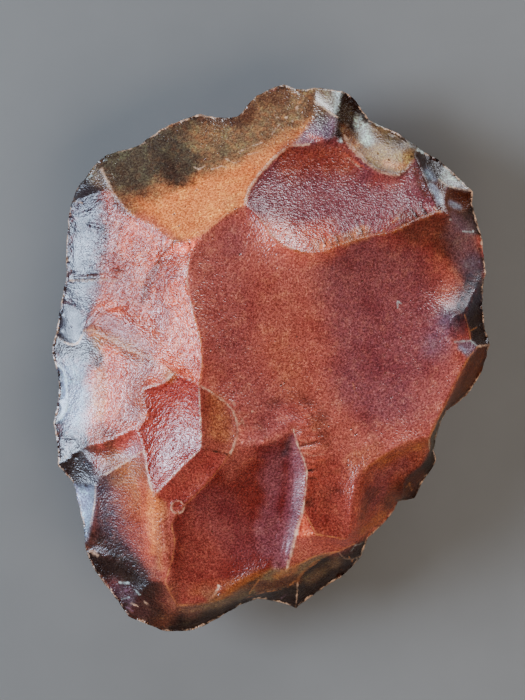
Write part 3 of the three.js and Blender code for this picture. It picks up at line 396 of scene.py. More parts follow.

# Stains, and patches of painted highlight and painted shade: the points of a path, its half width and
# the softness of its border in mm, the strength and the colour. A path of one point is a round stain.
STAINS_AND_PAINTED_LIGHT = [
    # purple on the right half of the great scar, and its brown margin
    ([(230, 150), (268, 20), (262, -15)], 9, 6, 0.8, PURPLE_RED),
    ([(-120, 170), (-100, 120), (-90, 60)], 3, 6, 0.35, PURPLE_RED),
    ([(-85, 220), (-80, 195)], 1.5, 2.5, 0.45, PURPLE_RED),
    ([(-90, 0), (-50, -60), (0, -110)], 3, 5, 0.35, PURPLE_RED),
    ([(20, 30), (40, -20), (45, -50)], 1.5, 4, 0.15, AMBER),
    ([(280, 225), (340, 235), (385, 215)], 2.5, 3, 0.6, RED_BROWN),
    ([(415, 240), (440, 200), (455, 170)], 2.5, 3, 0.65, DARK_BROWN),
    ([(464, 165), (452, 115), (432, 88), (416, 76)], 1.8, 3.0, 0.9, SLATE),
    ([(310, 238), (365, 238), (405, 205)], 2.0, 3.0, 0.6, DARK_BROWN),
    ([(372, 20), (395, 60)], 1.5, 3, 0.5, LILAC),
    ([(428, 228), (450, 180)], 2.0, 3.0, 0.45, LILAC),
    ([(380, -30), (400, -10), (350, -60)], 1.5, 4, 0.45, ORANGE_RED),
    ([(120, -225), (140, -300)], 3.5, 4, 0.85, RED_BROWN),
    ([(190, -180), (230, -160)], 0.8, 2.5, 0.3, AMBER),
    ([(215, -105), (235, -142)], 0.5, 2, 0.15, SLATE),
    ([(105, -110), (125, -150)], 0.5, 2, 0.35, DARK_BROWN),
    # the rind: brown over the top, darkest on the left, orange below
    ([(-350, 348), (-280, 352), (-200, 378), (-120, 402), (-40, 428), (30, 462), (70, 482)],
     5.2, 3.0, 0.95, SMOKE),
    ([(-350, 345), (-290, 355), (-240, 378), (-215, 350)], 3.4, 3.0, 0.9, OLIVE),
    ([(-262, 388), (-238, 372), (-240, 345)], 1.4, 3.0, 0.35, BLACK_BROWN),
    ([(-335, 335), (-300, 330)], 1.6, 2.6, 0.5, OLIVE),
    ([(-120, 385), (-105, 372)], 0.6, 1.6, 0.5, OLIVE),
    ([(-350, 298), (-330, 275), (-312, 264)], 0.5, 1.8, 0.6, SMOKE),
    ([(-300, 252), (-255, 232), (-205, 205)], 0.4, 1.5, 0.6, ORANGE_RED),
    ([(-60, 455), (-20, 470), (20, 480)], 1.4, 1.6, 0.6, DARK_BROWN),
    ([(-370, 368), (-305, 382), (-245, 416), (-165, 441), (-80, 437)], 0.5, 1.6, 0.6, OLIVE),
    ([(-150, 440), (-90, 436), (-50, 438)], 0.5, 1.2, 0.5, DARK_BROWN),
    ([(90, 480), (92, 460), (80, 440)], 0.6, 1.0, 0.5, DARK_BROWN),
    ([(-30, 360), (10, 385), (35, 402)], 1.2, 1.8, 0.5, TAN),
    ([(-75, 290), (-90, 275)], 0.6, 1.6, 0.5, TAN),
    # the left flank: dark patina at the margin, orange streaks
    ([(-455, 285), (-462, 200), (-465, 100), (-480, 0), (-480, -120), (-470, -170)], 4.6, 2.6, 0.95, SLATE),
    ([(-410, 280), (-420, 210), (-430, 120)], 2.6, 2.4, 0.85, SLATE),
    ([(-350, 260), (-372, 200), (-356, 150)], 1.5, 3.0, 0.45, SLATE),
    # A painted reflection of the sky on the lower left margin.
    ([(-462, -30), (-456, -110)], 2.0, 2.0, 0.6, BLUE_HIGHLIGHT),
    ([(-300, 190), (-315, 150), (-300, 110)], 1.5, 3.0, 0.5, BRICK),
    ([(-492, -35), (-486, -75), (-490, -115)], 0.2, 0.6, 0.9, SLATE),
    ([(-400, 60), (-340, 44), (-285, 12)], 1.2, 2.0, 0.6, BRICK),
    ([(-205, 215), (-235, 195), (-262, 160)], 0.2, 0.8, 0.6, DARK_BROWN),
    ([(-395, 120), (-345, 118), (-330, 128)], 0.8, 2.2, 0.4, RED_BROWN),
    ([(-232, 178), (-268, 150), (-290, 100)], 0.3, 1.0, 0.6, DARK_BROWN),
    ([(-440, 306), (-410, 305)], 1.0, 1.2, 0.7, BLACK_BROWN),
    ([(-490, 30), (-455, 12), (-420, 22), (-402, 28)], 1.0, 0.8, 0.9, BLACK_BROWN),
    ([(-392, 20), (-385, -40), (-392, -100)], 0.6, 1.4, 0.5, TAN),
    ([(-370, -130), (-330, -110), (-308, -95)], 0.8, 2.0, 0.6, RED_BROWN),
    # Painted shade on the upper side of the trough.
    ([(-395, -140), (-370, -145)], 1.0, 2.0, 0.6, DARK_BROWN),
    ([(-405, 48), (-330, 18), (-265, -8), (-225, -30)], 0.7, 1.4, 0.7, AMBER),
    ([(-420, 12), (-400, 0)], 1.2, 1.2, 0.8, BLACK_BROWN),
    # Painted shade in the groove left of the crest.
    ([(-222, 172), (-246, 120), (-252, 60)], 1.2, 1.8, 0.7, RED_BROWN),
    ([(-335, 112), (-302, 70), (-262, 30)], 1.6, 2.4, 0.6, ORANGE_RED),
    ([(-385, 78), (-350, 62), (-330, 60)], 1.4, 1.8, 0.6, RED_BROWN),
    ([(-272, -14), (-298, -50), (-300, -100)], 0.8, 2.2, 0.7, BRICK),
    ([(-295, -20), (-310, -60), (-320, -90)], 1.8, 3, 0.5, BRICK),
    ([(-250, -30), (-270, -20)], 0.8, 1.5, 0.6, ORANGE_RED),
    ([(-445, -178), (-462, -188), (-440, -210), (-432, -222)], 1.6, 1.2, 0.9, BLACK_BROWN),
    # Painted shade on the trough's upper side, and a lilac painted highlight band along its lower side.
    ([(-405, -168), (-370, -172)], 1.3, 1.4, 0.7, DARK_BROWN),
    ([(-390, -208), (-340, -190), (-300, -155)], 0.7, 0.9, 0.4, LILAC),
    ([(-458, -148), (-440, -152)], 0.6, 1.0, 0.6, BLACK_BROWN),
    # the lower left flank and the dark butt
    ([(-352, -200), (-310, -220), (-300, -260)], 2.2, 3.0, 0.7, AMBER),
    # A pink painted highlight beside the crest.
    ([(-290, -225), (-274, -300), (-280, -370)], 0.6, 1.8, 0.4, PINK_RED),
    ([(-325, -250), (-318, -320), (-300, -370)], 1.0, 2.6, 0.5, RED_BROWN),
    ([(-385, -235), (-380, -300), (-340, -370), (-310, -395)], 1.2, 5.0, 0.85, SLATE),
    ([(-410, -330), (-370, -350), (-345, -385)], 1.5, 3.5, 0.8, BLACK_BROWN),
    # Painted highlight up the crest: a tan and a rust strip.
    ([(-252, -262), (-248, -320), (-250, -370)], 0.3, 1.6, 0.55, TAN),
    ([(-266, -240), (-264, -300), (-266, -345)], 0.4, 1.2, 0.7, RUST),
    ([(-352, -412), (-315, -445), (-300, -468)], 1.2, 2.4, 0.5, PURPLE_RED),
    ([(-240, -300), (-238, -360), (-235, -400)], 0.6, 0.8, 0.6, ORANGE_RED),
    ([(-300, -400), (-270, -440), (-290, -470)], 2.0, 3.0, 0.7, BLACK_BROWN),
    ([(-228, -470), (-216, -440), (-222, -415)], 1.0, 1.4, 0.7, DARK_BROWN),
    ([(-180, -462), (-120, -446), (-70, -425)], 0.4, 1.4, 0.6, SMOKE),
    ([(-200, -450), (-120, -450)], 0.8, 1.4, 0.4, SMOKE),
    ([(-200, -478), (-120, -466), (-60, -452)], 0.8, 1.2, 0.8, BLACK_BROWN),
    ([(-380, -378), (-350, -385), (-335, -400)], 1.4, 1.2, 0.7, BLACK_BROWN),
    ([(-330, -440), (-345, -425)], 1.2, 1.2, 0.5, SLATE),
    ([(-122, -75), (-115, -130)], 1.5, 1.5, 0.4, AMBER),
    # the deep scar: an orange foot and purple streaks
    ([(-180, -420), (-100, -412), (-30, -382)], 0.6, 1.8, 0.5, AMBER),
    ([(-150, -420), (-120, -438)], 0.6, 1.0, 0.5, SMOKE),
    ([(-150, -300), (-150, -380), (-200, -420)], 2.5, 4, 0.4, ORANGE_RED),
    ([(10, -170), (0, -250), (-10, -340)], 1.4, 2.2, 0.8, PURPLE_RED),
    ([(38, -140), (30, -165)], 0.5, 1.2, 0.6, SLATE),
    ([(-140, -260), (-60, -330)], 2.5, 4, 0.3, PURPLE_RED),
    ([(-60, -160), (-100, -185)], 0.8, 2.5, 0.5, ORANGE_RED),
    # A lilac painted highlight along the top of the deep wall.
    ([(60, -200), (54, -260), (38, -340)], 0.3, 0.8, 0.3, LILAC),
    # round the tip
    ([(175, 455), (180, 435)], 0.8, 0.8, 0.6, OLIVE),
    ([(168, 420), (180, 400), (195, 388)], 0.4, 1.3, 0.5, TAN),
    ([(204, 428), (216, 402)], 0.8, 1.7, 0.9, PALE),
    ([(222, 372), (250, 352), (290, 345)], 0.5, 1.2, 0.8, GOLD),
    ([(166, 440), (172, 420), (185, 400)], 0.8, 1.4, 0.6, OLIVE),
    ([(262, 408), (285, 398), (300, 392)], 0.7, 1.4, 0.7, OLIVE),
    ([(252, 375), (278, 360), (302, 366)], 1.3, 1.4, 0.9, GOLD),
    ([(262, 354), (285, 348), (302, 352)], 0.5, 1.3, 0.7, TAN),
    ([(112, 430), (125, 405)], 0.8, 1.2, 0.5, SLATE),
    ([(85, 402), (110, 396)], 0.5, 1.0, 0.6, PINK_RED),
    ([(50, 355), (110, 362), (165, 355)], 2.0, 3.4, 0.9, BRICK),
    ([(240, 325), (290, 318)], 0.6, 2.0, 0.5, ORANGE_RED),
    ([(325, 345), (340, 318), (350, 300)], 0.5, 1.0, 0.7, DARK_BROWN),
    # Blue-white painted highlights on the shoulder.
    ([(366, 312), (376, 298), (380, 284)], 0.2, 0.8, 0.6, BLUE_HIGHLIGHT),
    ([(408, 282), (428, 276)], 0.1, 0.8, 0.4, BLUE_HIGHLIGHT),
    ([(355, 342), (370, 326)], 0.2, 1.2, 0.45, BLUE_HIGHLIGHT),
    # Pink and tan painted highlight along the lower rim of the upper scar.
    ([(15, 222), (55, 206), (115, 206)], 1.6, 4.0, 0.6, PINK_RED),
    ([(100, 198), (150, 210), (205, 225)], 0.5, 1.4, 0.5, TAN),
    ([(408, 52), (412, 40)], 0.3, 0.7, 0.7, PURPLE_RED),
    # A blue-white painted highlight on the right corner.
    ([(425, 20), (436, 14)], 0.2, 0.8, 0.6, BLUE_HIGHLIGHT),
    ([(150, -372), (110, -388), (85, -402)], 0.6, 1.6, 0.6, SMOKE),
    ([(-20, -412), (20, -404), (60, -398)], 0.5, 1.2, 0.8, DARK_BROWN),
    ([(10, -390), (50, -378)], 0.4, 1.0, 0.6, AMBER),
    ([(340, -215), (300, -235), (275, -262)], 1.0, 2.5, 0.8, DARK_BROWN),
    ([(225, -265), (250, -215), (300, -185)], 0.6, 1.6, 0.5, PURPLE_RED),
    ([(205, -285), (225, -240)], 0.4, 1.2, 0.5, DARK_BROWN),
    ([(250, -180), (300, -160), (345, -152)], 0.4, 1.4, 0.5, AMBER),
    ([(205, -310), (245, -290)], 0.6, 1.4, 0.5, AMBER),
    ([(140, -405), (80, -440), (175, -375)], 0.5, 1.0, 0.8, BLACK_BROWN),
]

# Fine lines that run up to a ridge: the run, the scar that they are in, how far they reach and how far
# apart they are in mm, and their height in mm.
HACKLES = [
    ("u2 u3 u4 u5 u6 u7 u8 u9", "upper_scar", 5.0, 0.9, 0.8),
    ("p3 p4 p5 p6", "central_scar", 9.0, 1.15, 0.7),
    ("p6 p7 p3", "central_scar", 5.0, 0.9, 0.25),
    ("j2 j3 p23 p1", "central_scar", 4.0, 1.1, 0.6),
    ("a5 a6 a7", "upper_left_scar", 5.0, 1.1, 0.8),
    ("c1 c2", "upper_left_scar", 8.0, 1.2, 0.5),
    ("c2 c3 c4", "mid_left_scar", 7.0, 1.2, 0.35),
    ("e55 d1 a2 a3", "upper_left_scar", 6.0, 0.8, 0.3),
    ("n3 n5 n6 n7", "notch", 5.0, 0.6, 0.20),
    ("s3 e29 e28 e27", "lower_right_scar", 6.0, 1.1, 0.12),
    ("e37 e38", "butt", 4.0, 0.8, 0.12),
]

# Waves that run along a ridge: the run, the scar, their reach, length and height in mm.
WAVES = [
    ("n5 n6 n7", "upper_scar", 3.2, 0.8, 0.09),
    ("p4 p5 p6 p7 p8 p9", "deep_wall", 4.0, 0.9, 0.05),
    ("e52 e53 e54 e55", "upper_left_scar", 9.0, 2.6, 0.10),
    ("e46 e47 e48 e49", "left_scar", 9.0, 2.8, 0.03),
    ("e42 y1 y2", "lower_left_scar", 6.0, 2.6, 0.03),
    ("e58 e59 e60", "rind", 6.0, 2.4, 0.06),
]

# Cracks and small steps: the points of a path, half width and depth in mm.
CRACKS = [
    ([(-460, 150), (-430, 151), (-395, 152), (-368, 153), (-340, 161)], 0.85, 0.45),
    ([(-415, 246), (-390, 238), (-368, 244)], 0.3, 0.20),
    ([(-440, 262), (-405, 270), (-392, 285)], 0.3, 0.16),
    ([(-425, 290), (-410, 262), (-395, 250)], 0.25, 0.12),
    ([(-430, 52), (-405, 70), (-385, 86), (-350, 94), (-325, 97)], 0.4, 0.25),
    ([(-222, 190), (-245, 145), (-256, 95), (-250, 55)], 1.4, 0.32),
    ([(-150, 225), (-180, 205), (-215, 196), (-250, 188)], 0.5, 0.22),
    ([(-285, 130), (-268, 105)], 0.3, 0.10),
    ([(463, 232), (437, 231)], 0.3, -0.14),
    ([(-118, -430), (-112, -412)], 0.3, -0.18),
    ([(285, 104), (292, 99), (284, 95)], 0.18, -0.08),
    ([(-485, -175), (-470, -185), (-462, -176), (-448, -180)], 0.3, 0.22),
    ([(-470, -150), (-450, -150), (-440, -162)], 0.3, 0.14),
    ([(470, 50), (455, 57)], 0.3, -0.15),
]

# Painted light and shade: a hackle's crest is painted lighter and its foot darker.
HACKLE_LIGHT_AND_SHADE = 2.0  # how much lighter a hackle is than its foot, for each mm that it stands out
STRIAE_TURN = math.radians(55)  # the way that the fine lines run over the sheen

# A pit with a raised rim, and the pale line on that rim. Lengths are in mm.
RING = (-209, -263)
RING_RADIUS = 1.25
RING_WIDTH = 0.28
RING_HEIGHT = 0.24
RING_DEPTH = 0.16
RING_LINE = 0.24
RING_PALENESS = 0.75

# Layers of noise. Each is its strength, its wavelength in mm, its seed and its octaves. A strength is
# in mm, but for the mottle.
SWELL = (0.04, 5.0, 1, 3)
GRAIN = [(0.06, 2.4, 10, 2), (0.014, 1.1, 2, 2), (0.004, 0.6, 9, 1)]
CRACK_WAVER = [(0.25, 1.6, 7, 2), (0.25, 1.6, 8, 2)]
EDGE_WAVER = [(0.16, 1.5, 31, 3), (0.16, 1.5, 32, 3)]
STAIN_RAGGED = [(0.8, 6.0, 11, 4), (0.15, 0.9, 12, 2)]
STAIN_MOTTLE = (0.25, 0.8, 13, 2)
UNDER_RELIEF = [(0.12, 5.0, 41, 3), (0.04, 1.6, 42, 3)]
WAVER_REACH = 0.7  # mm, how far in the waver of the cutting edge reaches
HACKLE_RELIEF = 0.5  # the share of a hackle's height that is real relief
RIM_SHARE = 0.4  # how much of the relief a ridge takes

# The small chips on the cutting edge, in mm: how far apart they are, how far in they can lie, and the
# least and greatest width, reach and depth.
CHIP_SPACING = 1.7
CHIPPED_BAND = 2
CHIP_WIDTHS = (0.5, 1.7)
CHIP_REACHES = (0.4, 1.6)
CHIP_DEPTHS = (0.05, 0.32)
UPPER_CHIPS = 21  # seeds
UNDER_CHIPS = 22

# How soft ridges are rolled over: the strongest pull, and the rounds of it for each mm of reach.
ROLL_WEIGHT = 0.9
ROLL_ROUNDS = 30

# The stone's gloss, and how deep the bumps of its finest grain are, in metres.
JASPER_IOR = 1.54
GRAIN_BUMP = 0.00013
PORE_BUMP = 0.00011
STRIAE_BUMP = 0.00022
PIT_BUMP = 0.0001


def place(point):
    share = np.array([WIDTH / 1000, LENGTH / 1000, THICKNESS / 100])
    return np.array(point, float) * share


def place_flat(path):
    return np.array([(x * WIDTH / 1000, y * LENGTH / 1000) for x, y in path])


points = {f"e{i}": place(p) for i, p in enumerate(EDGE)}
points.update({name: place(p) for name, p in UPPER_POINTS.items()})


def edge_run(first, last):
    count = (last - first) % len(EDGE) + 1
    return [f"e{(first + i) % len(EDGE)}" for i in range(count)]


def expand(rim):
    """The names round a rim, where e3-e6 stands for e3 e4 e5 e6."""
    names = []
    for word in rim.split():
        ends = word.split("-")
        names += edge_run(int(ends[0][1:]), int(ends[1][1:])) if len(ends) == 2 else [word]
    return names


def upper_scars():
    return [(name, expand(rim), hollow, colour) for name, (rim, hollow, colour) in UPPER_SCARS.items()]


def under_scars():
    """Adds the points of the under face's ridges, and lists the scars between them."""
    centre = place(REST_CENTRE)
    for i, (edge, leaves, bend, _) in enumerate(UNDER_RIDGES):
        end = points[f"e{edge}"]
        way = np.array([end[0] - centre[0], end[1] - centre[1], 0])
        aside = np.array([-way[1], way[0], 0]) * bend
        points[f"foot{i}"] = centre + way * leaves
        middle = centre + way * (leaves + (1 - leaves) * BEND_AT) + aside
        middle[2] = end[2] * BEND_HEIGHT
        points[f"bend{i}"] = middle
    scars = []
    for i, (edge, _, _, hollow) in enumerate(UNDER_RIDGES):
        after = (i + 1) % len(UNDER_RIDGES)
        rim = edge_run(edge, UNDER_RIDGES[after][0])
        rim += [f"bend{after}", f"foot{after}", f"foot{i}", f"bend{i}"]
        scars.append((f"under{i}", rim, hollow, UNDER_COLOURS[i % len(UNDER_COLOURS)]))
    scars.append(("rest", [f"foot{i}" for i in range(len(UNDER_RIDGES))], 0, RED_BROWN))
    return scars


def pairs(rim):
    return zip(rim, rim[1:] + rim[:1])


def neighbours_of(scars):
    joined = {name: set() for name in points}
    for _, rim, _, _ in scars:
        for a, b in pairs(rim):
            joined[a].add(b)
            joined[b].add(a)
    return joined


def tangent(a, b, joined):
    """How a ridge leaves a for b: smoothly where a only bends it, freely where ridges meet."""
    others = [name for name in joined[a] if name != b]
    if len(others) != 1:
        return None
    way = points[b] - points[others[0]]
    return way / np.linalg.norm(way) * np.linalg.norm(points[b] - points[a])


def trace_ridge(a, b, joined, step):
    """Points of the curved ridge between a and b, without its ends."""
    start, end = points[a], points[b]
    chord = end - start
    start_way, end_way = tangent(a, b, joined), tangent(b, a, joined)
    end_way = None if end_way is None else -end_way
    if start_way is None and end_way is None:
        start_way = end_way = chord
    elif start_way is None:
        start_way = 1.5 * chord - 0.5 * end_way
    elif end_way is None:
        end_way = 1.5 * chord - 0.5 * start_way
    pieces = max(1, round(float(np.linalg.norm(chord)) / step))
    t = (np.arange(1, pieces) / pieces)[:, None]
    first, second = start + start_way / 3, end - end_way / 3
    return (1 - t) ** 3 * start + 3 * (1 - t) ** 2 * t * first + 3 * (1 - t) * t * t * second + t ** 3 * end


class RidgeNet:
    """The vertices of all ridges, shared by the scars on their two sides."""

    def __init__(self, scars):
        self.joined = neighbours_of(scars)
        self.vertices = []
        self.named = {}
        self.runs = {}

    def point(self, name):
        if name not in self.named:
            self.named[name] = len(self.vertices)
            self.vertices.append(points[name])
        return self.named[name]

    def run(self, a, b, step):
        """Vertex numbers from a up to, but not including, b."""
        key = tuple(sorted((a, b)))
        if key not in self.runs:
            traced = trace_ridge(*key, self.joined, step)
            self.runs[key] = list(range(len(self.vertices), len(self.vertices) + len(traced)))
            self.vertices.extend(traced)
        inner = self.runs[key]
        return [self.point(a)] + (inner if a == key[0] else inner[::-1])

    def path(self, words):
        """The ridge's points in the plane, through all the named points of a run."""
        names = words.split()
        numbers = [n for a, b in zip(names, names[1:]) for n in self.run(a, b, UPPER_STEP)]
        numbers.append(self.point(names[-1]))
        return np.array([self.vertices[n][:2] for n in numbers])


def mean_value(xy, rim):
    """Height blended from the rim, and a smooth measure of the distance from it."""
    heights, reach = np.empty(len(xy)), np.empty(len(xy))
    for start in range(0, len(xy), BATCH):
        part = slice(start, start + BATCH)
        d = rim[None, :, :2] - xy[part, None, :]
        far = np.hypot(d[..., 0], d[..., 1]) + 1e-9
        e, far_next = np.roll(d, -1, 1), np.roll(far, -1, 1)
        cross = d[..., 0] * e[..., 1] - d[..., 1] * e[..., 0]
        dot = d[..., 0] * e[..., 0] + d[..., 1] * e[..., 1]
        half = (far * far_next - dot) / np.where(np.abs(cross) < 1e-9, 1e-9, cross)
        weight = (half + np.roll(half, 1, 1)) / far
        total = weight.sum(1)
        heights[part] = weight @ rim[:, 2] / total
        reach[part] = 1 / total
    return heights, reach


def to_segment(xy, a, b):
    """Distance from each point to its own segment from a to b, and the share of it passed there."""
    way = b - a
    t = np.clip(((xy - a) * way).sum(1) / ((way * way).sum(1) + 1e-12), 0, 1)
    return np.hypot(*(xy - a - t[:, None] * way).T), t


def nearest(xy, path, reach=FAR):
    """Distance from each point to a path, and how far along the path its nearest point is."""
    best, along = np.full(len(xy), FAR), np.zeros(len(xy))
    close = np.nonzero(np.all((xy > path.min(0) - reach) & (xy < path.max(0) + reach), 1))[0]
    if len(path) == 1:
        best[close] = np.hypot(*(xy[close] - path[0]).T)
        return best, along
    lengths = np.hypot(*np.diff(path, axis=0).T)
    passed = np.concatenate([[0], np.cumsum(lengths)])
    tree = KDTree(len(path))
    for i, p in enumerate(path):
        tree.insert((*p, 0), i)
    tree.balance()
    fine = lengths.max() < 4 * UPPER_STEP
    if fine:
        found = np.array([tree.find((*p, 0))[1] for p in xy[close]], int)
        tries = [np.clip(found - 1, 0, len(path) - 2), np.clip(found, 0, len(path) - 2)]
    else:
        tries = [np.full(len(close), i) for i in range(len(path) - 1)]
    for segment in tries:
        d, t = to_segment(xy[close], path[segment], path[segment + 1])
        closer = d < best[close]
        best[close[closer]] = d[closer]
        along[close[closer]] = (passed[segment] + t * lengths[segment])[closer]
    return best, along


def inside(xy, rim):
    x, y = xy[:, 0], xy[:, 1]
    result = np.zeros(len(xy), bool)
    for a, b in zip(rim, np.roll(rim, -1, 0)):
        crosses = (a[1] > y) != (b[1] > y)
        with np.errstate(divide="ignore", invalid="ignore"):
            result ^= crosses & (x < (b[0] - a[0]) * (y - a[1]) / (b[1] - a[1]) + a[0])
    return result


def grid_inside(rim, step):
    """Points of a triangular grid inside the rim, clear of it."""
    low, high = rim[:, :2].min(0), rim[:, :2].max(0)
    rows = np.arange(low[1], high[1], step * math.sqrt(3) / 2)
    columns = np.arange(low[0] - step, high[0] + step, step)
    xy = np.array([(x + (step / 2 if row % 2 else 0), y) for row, y in enumerate(rows) for x in columns])
    xy = xy[inside(xy, rim[:, :2])]
    loop = np.vstack([rim[:, :2], rim[:1, :2]])
    return xy[nearest(xy, loop)[0] > BOWL_CLEARANCE * step]


def fill(rim_numbers, inner_numbers, vertices):
    """Triangles over a scar, anticlockwise from above."""
    numbers = rim_numbers + inner_numbers
    flat = [Vector(vertices[n][:2]) for n in numbers]
    count = len(rim_numbers)
    rim_edges = [(i, (i + 1) % count) for i in range(count)]
    _, _, faces, origins, _, _ = delaunay_2d_cdt(flat, rim_edges, [], 1, 1e-7)
    return [[numbers[origins[i][0]] for i in face] for face in faces]


def mesh_scars(scars, net, step, upwards):
    """Fine triangles of all the scars of one face. Returns them with each vertex's own scar."""
    faces, owner = [], {}
    for index, (name, rim, hollow, _) in enumerate(scars):
        numbers = [n for a, b in pairs(rim) for n in net.run(a, b, step)]
        loop = np.array([net.vertices[n] for n in numbers])
        turn = loop[:, 0] @ np.roll(loop[:, 1], -1) - loop[:, 1] @ np.roll(loop[:, 0], -1)
        if turn < 0:
            numbers, loop = numbers[::-1], loop[::-1]
        xy = grid_inside(loop, step)
        heights, reach = mean_value(xy, loop[::RIM_STRIDE])
        bowl = np.clip(reach / reach.max(), 0, 1) ** STEEP_RIMS.get(name, 1)
        heights += (-1 if upwards else 1) * hollow * bowl
        inner = list(range(len(net.vertices), len(net.vertices) + len(xy)))
        net.vertices.extend(np.column_stack([xy, heights]))
        faces += fill(numbers, inner, net.vertices)
        owner.update({n: index for n in inner})
    if not upwards:
        faces = [face[::-1] for face in faces]
    return faces, owner


def display(colour):
    """Linear red, green and blue of a display colour."""
    c = np.array(colour) / 255
    return np.where(c <= 0.04045, c / 12.92, ((c + 0.055) / 1.055) ** 2.4)


def smooth_step(low, high, value):
    t = np.clip((value - low) / (high - low), 0, 1)
    return t * t * (3 - 2 * t)


def layer(xyz, strength, wavelength, seed, octaves):
    return strength * wander(xyz, wavelength, seed, octaves)


def wander(xyz, wavelength, seed, octaves):
    """Smooth noise from about -1 to 1 at each point."""
    shift = Vector((seed * 17.3, seed * 5.1, seed * 9.7))
    return np.array([noise.fractal(Vector(p) / wavelength + shift, 1.0, 2.0, octaves) for p in xyz])


def relax(values, links, weight, rounds):
    """Draws each value towards the mean of its neighbours."""
    a, b = links
    count = np.bincount(a, minlength=len(values)) + np.bincount(b, minlength=len(values))
    for _ in range(rounds):
        total = np.bincount(a, values[b], len(values)) + np.bincount(b, values[a], len(values))
        values = values + weight * (total / count - values)
    return values


def links_of(faces):
    f = np.array(faces)
    pairs_all = np.vstack([f[:, [0, 1]], f[:, [1, 2]], f[:, [2, 0]]])
    pairs_all = np.unique(np.sort(pairs_all, 1), axis=0)
    return pairs_all[:, 0], pairs_all[:, 1]


def nick_edge(xyz, faces_up, edge_path, seed):
    """Small chips that use and knapping broke off the cutting edge."""
    rng = np.random.default_rng(seed)
    length = np.hypot(*np.diff(edge_path, axis=0).T).sum()
    distance, along = nearest(xyz[:, :2], edge_path)
    near = np.nonzero(distance < CHIPPED_BAND)[0]
    for _ in range(int(length / CHIP_SPACING)):
        at = rng.uniform(0, length)
        wide, reach, deep = (rng.uniform(*span) for span in (CHIP_WIDTHS, CHIP_REACHES, CHIP_DEPTHS))
        gap = np.abs(along[near] - at)
        gap = np.minimum(gap, length - gap)
        bowl = 1 - (gap / wide) ** 2 - (distance[near] / reach) ** 2
        cut = near[bowl > 0]
        xyz[cut, 2] += (-1 if faces_up else 1) * deep * bowl[bowl > 0]


def add_relief(xyz, owner, scars, net, on_rim, grit):
    """Hackles, waves, cracks, the ring pit and the stone's uneven grain, on the upper face.
    Returns how far each vertex stands out on a hackle."""
    names = [scar[0] for scar in scars]
    lift = layer(xyz, *SWELL)
    combed = np.zeros(len(xyz))
    lift += grit * sum(layer(xyz, *grain) for grain in GRAIN)
    for run, scar, reach, spacing, height in HACKLES:
        own = np.nonzero(owner == names.index(scar))[0]
        distance, along = nearest(xyz[own, :2], net.path(run))
        fade = smooth_step(reach, 0, distance) * smooth_step(0, 0.5, distance)
        # the lines come and go along the ridge
        fade *= np.clip(0.6 + wander(xyz[own], 3.0, 3, 1), 0, 1.4)
        line = np.column_stack([along / spacing, distance / (spacing * 5), np.zeros(len(own))])
        crests = 1 - 2 * np.abs(wander(line, 1.0, 4, 2))
        combed[own] += height * fade * (crests - 0.5)
    lift += HACKLE_RELIEF * combed
    for run, scar, reach, wavelength, height in WAVES:
        own = np.nonzero(owner == names.index(scar))[0]
        distance, _ = nearest(xyz[own, :2], net.path(run))
        phase = distance / wavelength + 0.6 * wander(xyz[own], 6.0, 5, 2)
        patch = np.clip(0.5 + wander(xyz[own], 4.0, 6, 1), 0, 1)
        lift[own] += height * patch * smooth_step(reach, reach * 0.3, distance) * np.sin(phase * math.tau)
    shaken = xyz[:, :2] + np.column_stack([layer(xyz, *waver) for waver in CRACK_WAVER])
    for path, half_width, depth in CRACKS:
        distance, _ = nearest(shaken, place_flat(path), 3 * half_width)
        lift -= depth * np.exp(-(distance / half_width) ** 2)
    from_ring = np.hypot(*(xyz[:, :2] - place_flat([RING])[0]).T)
    lift += RING_HEIGHT * np.exp(-((from_ring - RING_RADIUS) / RING_WIDTH) ** 2)
    lift -= RING_DEPTH * smooth_step(RING_RADIUS, RING_RADIUS * 0.6, from_ring)
    xyz[:, 2] += lift * np.where(on_rim, RIM_SHARE, 1.0)
    return combed


def paint_upper(xyz, owner, scars, links):
    """The colour of each vertex of the upper face."""
    palette = np.array([display(scar[3]) for scar in scars])
    known = owner >= 0
    colour = np.zeros((len(xyz), 3))
    colour[known] = palette[owner[known]]
    for channel in range(3):
        colour[:, channel] = relax(spread(colour[:, channel], known, links, 2), links, 0.5, 2)
    ragged = sum(layer(xyz, *part) for part in STAIN_RAGGED)
    mottle = np.clip(1 + layer(xyz, *STAIN_MOTTLE), 0.5, 1.2)
    for path, half_width, softness, strength, tone in STAINS_AND_PAINTED_LIGHT:
        distance, _ = nearest(xyz[:, :2], place_flat(path), half_width + 3 * softness)
        amount = strength * mottle * smooth_step(half_width + softness, half_width - softness * 0.2,
                                                 distance + ragged * min(softness, 1.6))
        colour += np.clip(amount, 0, 1)[:, None] * (display(tone) - colour)
    return colour


def spread(values, known, links, rounds):
    """Carries the values of the known vertices over to their unknown neighbours."""
    a, b = links
    size = len(values)
    for _ in range(rounds):
        total = np.bincount(a, values[b] * known[b], size) + np.bincount(b, values[a] * known[a], size)
        count = np.bincount(a, known[b], size) + np.bincount(b, known[a], size)
        fresh = ~known & (count > 0)
        values = np.where(fresh, total / np.maximum(count, 1), values)
        known = known | fresh
    return values


def level_of(xy, owner, scars, links, levels, spots):
    """At each vertex, the level that its scar has, times the shares of the spots that it lies in."""
    own = np.array([levels.get(scar[0], 1.0) for scar in scars] + [1.0])
    level = relax(spread(own[owner], owner >= 0, links, 2), links, 0.5, 4)
    for path, half_width, softness, share in spots:
        distance, _ = nearest(xy, place_flat(path), half_width + softness)
        level *= 1 - (1 - share) * smooth_step(half_width + softness, half_width - softness, distance)
    return level


